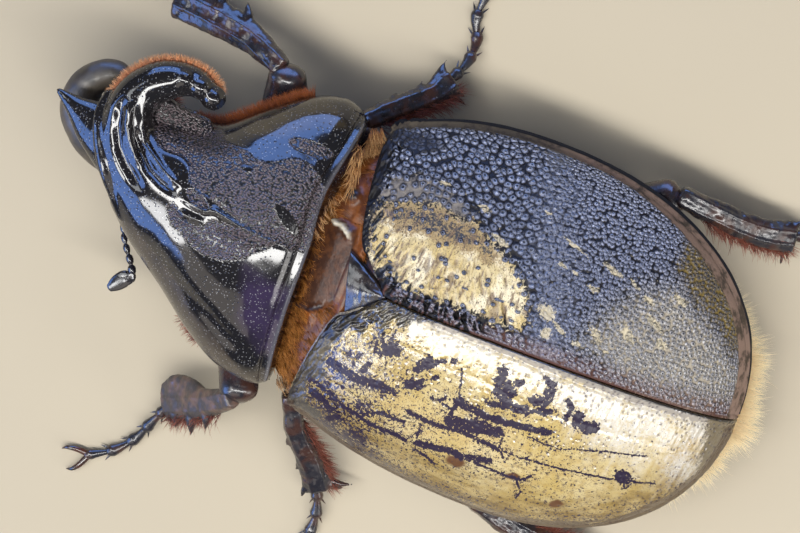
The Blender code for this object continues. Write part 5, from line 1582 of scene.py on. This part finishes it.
def makeTarsus(leg, finish, clawFinish):
    # Five joints with a pair of bristles at the end of the first four, then two claws
    name, points, radius = leg.replace("_", ""), legShape[leg]["tarsus"], legSizes["tarsusRadius"]
    pieces = []
    for k in range(5):
        first, last = k / 5 - 0.01 * (k > 0), (k + 1) / 5 - 0.012
        sizes = legSizes["jointRadii"] * radius * (0.94 if k < 4 else 0.8)
        centres = pathPoints(points, np.linspace(first, last, len(sizes)))[0]
        pieces.append(tubePiece("joint", centres, sizes, sizes * 0.95, sides=18, steps=14, cap=0.4))
        if k < 4:
            spot, ahead = pathPoint(points, last)
            for side in (levelAcross(ahead) * radius, levelAcross(ahead) * -radius):
                tip = spot + side * 1.35 + ahead * 0.75 - upward * 0.1
                pieces.append(spikePiece(spot + side * 0.7, tip, 0.14))
    finishPiece(joinAboveFloor(name + "TarsusSkin", pieces), finish, [leg + "_tarsus"])
    end = np.array(points[-1])
    ahead = unit(end - points[-2])
    claws = []
    for spread in (legSizes["clawSpread"], -legSizes["clawSpread"]):
        side = levelAcross(ahead) * spread
        path = [end - ahead * 0.6]
        for along, across, rise in legSizes["clawPath"]:
            path.append(end + ahead * legSizes["clawLength"] * along + side * across + upward * rise)
        claws.append(tubePiece("claw", path, legSizes["clawRadii"], sides=16, steps=24, cap=0.5))
    finishPiece(joinAboveFloor(name + "Claws", claws), clawFinish)


# Plain finishes of horn, limbs, eyes, belly and hair

toothBlack = (0.011, 0.009, 0.012)
cuticleLooks = {
    # colour, colour of patches, roughness, size and depth of the pits, size of the patches, coat
    "blackCuticle": ((0.009, 0.009, 0.013), (0.016, 0.013, 0.014), 0.16, 0.7, 0.05, 2.5, 0.3),
    "oliveHorn": ((0.04, 0.033, 0.024), (0.075, 0.06, 0.042), 0.42, 1.2, 0.01, 5.0, 0.05),
    "plateCuticle": ((0.01, 0.009, 0.01), (0.03, 0.022, 0.022), 0.2, 0.6, 0.14, 2.0, 0.3),
    "legCuticle": ((0.015, 0.014, 0.019), (0.045, 0.02, 0.015), 0.25, 0.6, 0.05, 2.2, 0.2),
    "legDusty": ((0.04, 0.032, 0.032), (0.12, 0.07, 0.052), 0.4, 0.6, 0.05, 1.7, 0.1),
    "clawHorn": ((0.01, 0.008, 0.008), (0.06, 0.02, 0.012), 0.16, 0.8, 0.01, 1.5, 0.3),
    "eyeLens": ((0.006, 0.005, 0.005), (0.012, 0.01, 0.008), 0.1, 0.08, 0.006, 1.0, 0.8),
    "bellyCuticle": ((0.018, 0.012, 0.01), (0.05, 0.02, 0.012), 0.28, 0.6, 0.05, 3.0, 0.3),
}


def cuticleFinish(name):
    colour, second, gloss, pitSize, pitDepth, patchSize, coat = cuticleLooks[name]
    material = newMaterial(name)
    shade = blend(step(noise(patchSize, 4.0), 0.42, 0.62), colour, second)
    shade = blend(mask("toothTip"), shade, toothBlack)
    normal = bump(noise(0.35), 0.025, 0.7, pits(pitSize, 0.16, pitDepth))
    rough = step(noise(1.2), 0.3, 0.7, gloss * 0.8, gloss * 1.35)
    return setShader(material, colour=shade, roughness=rough, normal=normal, ior=1.54, coat=coat,
                     coatRoughness=0.1)


def hairFinish(name, root, tip, shade=0.75):
    material = newMaterial(name)
    colour = blend(mask("toTip"), root, tip)
    colour = blend(mask("shade") * shade, colour, tuple(c * 0.3 for c in root))
    return setShader(material, colour=colour, roughness=0.45, specular=0.25)


# Hair: many thin blades in one mesh, each a closed three-sided spine with a bend

hairStyle = {
    # piece, colours of root and tip, how dark single hairs are, half widths, sag, seed, lengths
    "tail": {"piece": "tailFringe", "root": (1.0, 0.58, 0.2), "tip": (1.0, 0.88, 0.58), "shade": 0.15,
             "widths": (0.04, 0.075), "sag": 0.05, "seed": 3, "count": 7600, "lengths": (0.6, 1.04),
             # the fringe lies between two arcs, each with its reach across and to the rear, and its
             # lengths are shares of the way between them
             "centreY": 12.2, "rootReach": (15.2, 25.9), "tipReach": (20.0, 32.4), "spread": 60.0,
             "height": 7.3},
    "horn": {"piece": "hornFringe", "root": (0.5, 0.11, 0.035), "tip": (1.0, 0.55, 0.27), "shade": 0.4,
             "widths": (0.03, 0.05), "sag": 0.05, "seed": 5, "count": 1900, "lengths": (0.7, 1.25),
             "shares": (0.27, 0.99), "lifts": (-0.9, 0.3), "inset": 0.35, "rearCut": 98.0},
    "shield": {"piece": "shieldFringe", "root": (0.06, 0.011, 0.004), "tip": (0.62, 0.17, 0.03), "shade": 0.6,
               "widths": (0.022, 0.042), "sag": 0.1, "seed": 7, "count": 2400, "lengths": (1.0, 1.9),
               "yRange": (-26.6, -15.8), "towards": (-0.62, -0.78, 0.0), "inset": 0.45},
    "collar": {"piece": "collarFur", "root": (0.2, 0.06, 0.01), "tip": (0.7, 0.3, 0.07),
               "widths": (0.03, 0.05), "sag": 0.12, "seed": 9, "count": 760, "lengths": (1.1, 2.1),
               "perClump": 11, "front": -9.0, "depth": 4.6},
    "brush": {"piece": "limbTufts", "root": (0.06, 0.014, 0.009), "tip": (0.4, 0.12, 0.075),
              "widths": (0.03, 0.055), "sag": 0.1, "seed": 21, "count": 760, "lengths": (1.3, 2.9)},
    "blonde": {"piece": "collarTufts", "root": (0.3, 0.11, 0.025), "tip": (0.86, 0.54, 0.24),
               "widths": (0.03, 0.05), "sag": 0.15, "seed": 23},
}
hairShares = np.array([0.0, 0.35, 0.7, 1.0])
hairSizes = np.array([1.0, 0.85, 0.55, 0.08])
hairCorners = np.radians([90.0, 210.0, 330.0])
hairBends = {"side": 0.16, "rise": 0.12}
hairPatch = 0.003       # of the map's side


def hairMesh(key, rng, roots, directions, lengths, chart):
    # chart holds two rows of places, which lay the roots out on an unrolled strip.
    style, count = hairStyle[key], len(roots)
    widths = rng.uniform(*style["widths"], count)
    rng = np.random.default_rng(style["seed"] + 1)
    directions = unit(directions)
    side = unit(np.cross(directions, upward) + rng.normal(0, 0.15, (count, 3)))
    rise = np.cross(side, directions)
    bend = side * rng.normal(0, hairBends["side"], (count, 1))
    bend = bend + rise * rng.normal(0, hairBends["rise"], (count, 1))
    verts = []
    for share, size in zip(hairShares, hairSizes):
        middle = roots + (directions * share + bend * share**2) * lengths[:, None]
        middle[:, 2] -= style["sag"] * share**2 * lengths
        for angle in hairCorners:
            corner = side * math.cos(angle) + rise * math.sin(angle) * 0.6
            verts.append(middle + corner * (widths * size)[:, None])
    verts = np.stack(verts, axis=1).reshape(-1, 3)
    starts = np.arange(count)[:, None, None] * 12
    quads = ringFaces(4, 3)[:, [1, 0, 3, 2]] + starts
    tris = np.array([[0, 1, 2], [9, 11, 10]]) + starts
    piece = buildMesh(style["piece"], verts, quads, tris)
    paint(piece, "toTip", np.tile(np.repeat(hairShares, 3), count))
    paint(piece, "shade", np.repeat(rng.uniform(0.0, 1.0, count) ** 2, 12))
    # Each hair has a small patch of the map at its root's place on the strip.
    spots = np.stack(chart, axis=1)
    low = spots.min(axis=0)
    span = np.maximum(spots.max(axis=0) - low, 1e-6)
    within = np.stack([np.repeat(hairShares, 3), np.tile([0.0, 0.5, 1.0], 4)], axis=1) * hairPatch
    spots = np.repeat((spots - low) / span, 12, axis=0) * 0.99 + np.tile(within, (count, 1))
    layer = piece.data.uv_layers.new(name="OFBake")
    vertexAt = np.empty(len(piece.data.loops), np.int32)
    piece.data.loops.foreach_get("vertex_index", vertexAt)
    layer.data.foreach_set("uv", spots[vertexAt].astype(np.float32).ravel())
    return piece


# Small tufts: corners on the chart, height, reach on the chart, lift, length, count
darkTufts = [
    ([(158, 92), (170, 92), (174, 112), (160, 112)], 18.6, (14, 4), -0.4, 1.7, 420),
    ([(184, 314), (202, 340), (206, 336), (190, 310)], 9.5, (-16, 6), 0.0, 1.9, 220),
]
blondeTufts = [
    ([(282, 326), (300, 330), (298, 384), (274, 386)], 13.0, (5, 12), 0.35, 2.2, 300),
    ([(370, 128), (384, 128), (380, 150), (362, 152)], 15.5, (2, 14), 0.1, 2.4, 190),
    ([(356, 144), (366, 146), (352, 196), (344, 190)], 20.3, (-3, 14), 0.25, 1.9, 120),
    ([(330, 196), (342, 190), (318, 236), (312, 232)], 22.3, (8, 12), 0.4, 1.2, 70),
]
brushLegs = (("mid_left", 1.0), ("mid_right", 1.0), ("fore_left", -0.7), ("hind_left", 1.0),
             ("hind_right", 1.0))


def tuftRows(tufts, rng):
    rows = []
    for corners, high, reach, lift, long, count in tufts:
        a, b = rng.uniform(0, 1, (2, count, 1))
        c = np.array(corners, float)
        spots = (c[0] * (1 - a) + c[1] * a) * (1 - b) + (c[3] * (1 - a) + c[2] * a) * b
        ahead = unit(atPlan(*(c[0] + reach), high) - atPlan(*c[0], high)) + upward * lift
        roots = np.array([atPlan(*spot, high) for spot in spots])
        rows.append((roots, ahead + rng.normal(0, 0.25, (count, 3)), long * rng.uniform(0.6, 1.0, count)))
    return rows


def brushRows(rng):
    rows, count, lengths = [], hairStyle["brush"]["count"], hairStyle["brush"]["lengths"]
    for leg, way in brushLegs:
        out = unit(np.array(legShape[leg]["outward"]) * way)
        places, ahead = pathPoints(legShape[leg]["tibia"], rng.uniform(0.0, 1.0, count) ** 0.7 * 0.75 + 0.22)
        inward = out * (legSizes["tibiaWidths"][leg.split("_")[0]][2] * 0.62)
        rows.append((places - inward + rng.normal(0, 0.2, (count, 3)),
                     -out * 0.6 + ahead * rng.uniform(0.6, 1.4, (count, 1)) + rng.normal(0, 0.22, (count, 3)),
                     rng.uniform(*lengths, count)))
    return rows


def tuftHair(key, rng):
    rows = tuftRows(blondeTufts, rng) if key == "blonde" else tuftRows(darkTufts, rng) + brushRows(rng)
    roots, directions, lengths = [np.concatenate(part) for part in zip(*rows)]
    return hairMesh(key, rng, roots, directions, lengths, (roots[:, 0], roots[:, 1]))


def tailFringe(key, rng):
    style = hairStyle[key]
    count = style["count"]
    angle = np.radians(rng.uniform(-style["spread"], style["spread"], count))
    high = style["height"] + rng.uniform(-0.7, 0.9, count)
    roots, tips = [np.stack([wide * np.sin(angle), style["centreY"] + rear * np.cos(angle), high], axis=1)
                   for wide, rear in (style["rootReach"], style["tipReach"])]
    directions = tips - roots + rng.normal(0, 0.5, (count, 3))
    clump = sheetNoise(angle * 14.0, high, np.zeros(count), 1.0, 33, 2)
    lengths = np.linalg.norm(tips - roots, axis=1) * rng.uniform(*style["lengths"], count)
    lengths = lengths * (0.8 + 0.4 * clump)
    return hairMesh(key, rng, roots, directions, lengths, (angle, high))


def hornFringe(key, rng):
    style, points = hairStyle[key], shieldShape["horn"]
    count, lengths = style["count"], chordLengths(points)
    shares = rng.uniform(*style["shares"], count)
    centres, ahead = pathPoints(points, shares)
    out = -levelAcross(ahead)
    wide = smoothValue(lengths, shieldShape["hornWidths"], shares * lengths[-1])
    lifts = rng.uniform(*style["lifts"], count)
    roots = centres + out * (wide - style["inset"])[:, None] + upward * lifts[:, None]
    directions = out + ahead * rng.normal(0.0, 0.2, (count, 1)) + rng.normal(0, 0.1, (count, 3))
    keep = planOf(roots)[1] < style["rearCut"] + rng.uniform(-4.0, 2.0, count)
    return hairMesh(key, rng, roots[keep], directions[keep], rng.uniform(*style["lengths"], keep.sum()),
                    (shares[keep], lifts[keep]))


def shieldFringe(key, rng):
    style = hairStyle[key]
    count = style["count"]
    y = rng.uniform(*style["yRange"], count)
    z = shieldRow(4, y) + rng.uniform(-0.9, 0.9, count)
    roots = np.stack([shieldRow(2, y) + style["inset"], y + 0.2, z], axis=1)
    directions = np.tile(style["towards"], (count, 1))
    directions[:, 2] += rng.normal(0.05, 0.2, count)
    directions += rng.normal(0, 0.2, (count, 3))
    return hairMesh(key, rng, roots, directions, rng.uniform(*style["lengths"], count),
                    (roots[:, 1], roots[:, 2]))


def collarFringe(key, rng):
    # Clumps of hair that draw together toward their tips
    style = hairStyle[key]
    count, each, front = style["count"], style["perClump"], style["front"]
    y = front + style["depth"] * rng.uniform(0.0, 1.0, count) ** 1.5
    across, rise = superCircle(rng.uniform(0.04, 0.96, count) * math.pi, wingShape["power"])
    half = np.where(across > 0, *[halfWidth(y, side, coreShape["sideInset"]) for side in (1, -1)])
    middle, top = marginHeight(y), np.array([coreTop(spot) for spot in y])
    roots = np.stack([across * (half + 0.3), y, middle + rise * (top - middle) + 0.62 * rise], axis=1)
    outward = np.stack([across * 0.6, np.zeros(count), rise], axis=1)
    roots[:, 1] -= rearBow(roots[:, 0]) * (1.0 - ramp(y, front, front + 3.0))
    u, v = planOf(roots)
    bare = areaMask(u, v, collarMarks["plate"], 2.0) + spotMask(u, v, collarMarks["knob"], 0.3)
    nearFront = 1.0 - ramp(y, front + 0.4, front + 1.4)
    keep = (bare < 0.4) | (nearFront > 0.6)
    roots, outward, nearFront, bare = roots[keep], outward[keep], nearFront[keep], bare[keep]
    count = len(roots)
    directions = outward * 0.34 + rng.normal(0, 0.18, outward.shape)
    directions[:, 1] += rng.uniform(0.7, 1.1, count)
    directions[:, 0] += 0.35 + rng.normal(0, 0.25, count)
    directions[:, 2] += nearFront * 0.55
    lengths = rng.uniform(*style["lengths"], count) * (1.0 - 0.35 * (bare > 0.4))
    spread = rng.normal(0, 0.17, (count, each, 3)) * [1.0, 1.6, 0.5]
    ways = (unit(directions) * lengths[:, None])[:, None] - spread * 0.45
    starts = (roots[:, None] + spread).reshape(-1, 3)
    ways = (ways + rng.normal(0, 0.1, ways.shape)).reshape(-1, 3)
    long = np.linalg.norm(ways, axis=1) * rng.uniform(0.7, 1.0, len(ways))
    turns = np.arctan2(starts[:, 2] - wingShape["marginFront"], starts[:, 0])
    return hairMesh(key, rng, starts, ways, long, (turns, starts[:, 1]))


# Floor, light and background

stageLooks = {
    "floor": (0.45, 0.395, 0.3),
    "floorHalf": 900,
    "sky": (0.5, 0.62, 0.85),
    "skyStrength": 0.16,
    # centre in millimetres, direction of the long side, width, length, radiance, colour
    "panels": [
        ("keyPanel", (105.0, 130.0, 470.0), (0, 1, 0), 75.0, 860.0, 20.0, (1.0, 0.985, 0.96)),
        ("blueSide", (-500.0, -140.0, 205.0), (0, 1, 0), 330.0, 760.0, 6.5, (0.21, 0.4, 1.0)),
        ("blueFront", (260.0, -430.0, 200.0), (1, 0.55, 0), 290.0, 460.0, 6.5, (0.21, 0.4, 1.0)),
        ("greyFront", (10.0, -330.0, 430.0), (1, 0, 0), 130.0, 220.0, 4.5, (0.95, 0.98, 1.0)),
        ("rearLow", (110.0, 560.0, 240.0), (1, 0, 0), 180.0, 300.0, 5.0, (1.0, 0.97, 0.93)),
        ("warmSide", (390.0, -50.0, 310.0), (0, 1, 0), 260.0, 420.0, 1.3, (1.0, 0.9, 0.8)),
        ("bladeGlare", (262.0, -235.0, 365.0), (1, -1, 0), 90.0, 130.0, 15.0, (1.0, 1.0, 1.0)),
        ("softBox", (-60.0, -40.0, 620.0), (1, 0, 0), 420.0, 420.0, 1.5, (1.0, 0.98, 0.95)),
    ],
    "facing": {"keyPanel": (0.2, 0.0, 1.0)},
    "mirrorOnly": ("blueSide", "blueFront", "warmSide", "bladeGlare"),
    "lightOnly": ("softBox",),
}


def addFloor():
    half, tone = stageLooks["floorHalf"], stageLooks["floor"]
    corners = np.array([(-1, -1, 0), (1, -1, 0), (1, 1, 0), (-1, 1, 0)]) * half * mm
    floor = buildMesh("floor", corners, [(0, 1, 2, 3)])
    material = newMaterial("floorBoard")
    colour = blend(step(noise(60.0), 0.3, 0.7), tone, tuple(c * 0.97 for c in tone))
    floor.data.materials.append(setShader(material, colour=colour, roughness=0.85))


def addLights():
    world = bpy.data.worlds.new("studio")
    world.use_nodes = True
    background = world.node_tree.nodes["Background"]
    background.inputs["Color"].default_value = (*stageLooks["sky"], 1.0)
    background.inputs["Strength"].default_value = stageLooks["skyStrength"]
    bpy.context.scene.world = world
    bpy.context.scene.view_settings.view_transform = "Standard"
    for name, spot, along, wide, long, radiance, colour in stageLooks["panels"]:
        data = bpy.data.lights.new(name, "AREA")
        data.shape = "RECTANGLE"
        data.size, data.size_y = wide * mm, long * mm
        data.energy = radiance * math.pi * wide * long * mm * mm
        data.color = colour
        light = linkObject(name, data)
        light.visible_diffuse = name not in stageLooks["mirrorOnly"]
        light.visible_glossy = name not in stageLooks["lightOnly"]
        back = Vector(stageLooks["facing"].get(name, spot)).normalized()
        side = Vector(along).cross(back).normalized()
        standAt(light, spot, (side, back.cross(side), back))


addCamera()
addFloor()
addLights()
print("camera and lights placed")

finishes = {name: cuticleFinish(name) for name in cuticleLooks}

finishPiece(makeShield(), shieldFinish(), ["pronotum", "thoracic_horn"])
print("shield and horn made")
makeHead(finishes["blackCuticle"])
finishPiece(makeHeadHorn(), finishes["oliveHorn"], ["cephalic_horn"])
for word, side in (("Left", 1), ("Right", -1)):
    makeEye(word, side, finishes["eyeLens"])
for word in ("Left", "Right"):
    makeAntenna(word, finishes["blackCuticle"])
makeMouth(finishes["blackCuticle"])
print("head made")
leftWing, rightWing = makeWing("wingCaseLeft", 1, leftRelief), makeWing("wingCaseRight", -1, rightRelief)
finishPiece(leftWing, leftWingFinish(), ["elytron_left"])
finishPiece(rightWing, rightWingFinish(), ["elytron_right"])
print("wing cases made")
finishPiece(makeCollar(), collarFinish(), ["mesothorax"])
finishPiece(makeHindBody(), finishes["bellyCuticle"], ["metathorax", "abdomen"])
finishPiece(makeScutellum(), finishes["plateCuticle"], ["scutellum"])
for leg in legShape:
    makeFemur(leg, finishes["legCuticle"])
    makeTibia(leg, finishes["legDusty" if leg == "fore_left" else "legCuticle"])
    makeTarsus(leg, finishes["legCuticle"], finishes["clawHorn"])
print("body and legs made")
for key, maker in (("tail", tailFringe), ("horn", hornFringe), ("shield", shieldFringe),
                   ("collar", collarFringe), ("brush", tuftHair), ("blonde", tuftHair)):
    style = hairStyle[key]
    finish = hairFinish(key + "Hair", style["root"], style["tip"], style.get("shade", 0.75))
    finishPiece(maker(key, np.random.default_rng(style["seed"])), finish)
print("hair made")
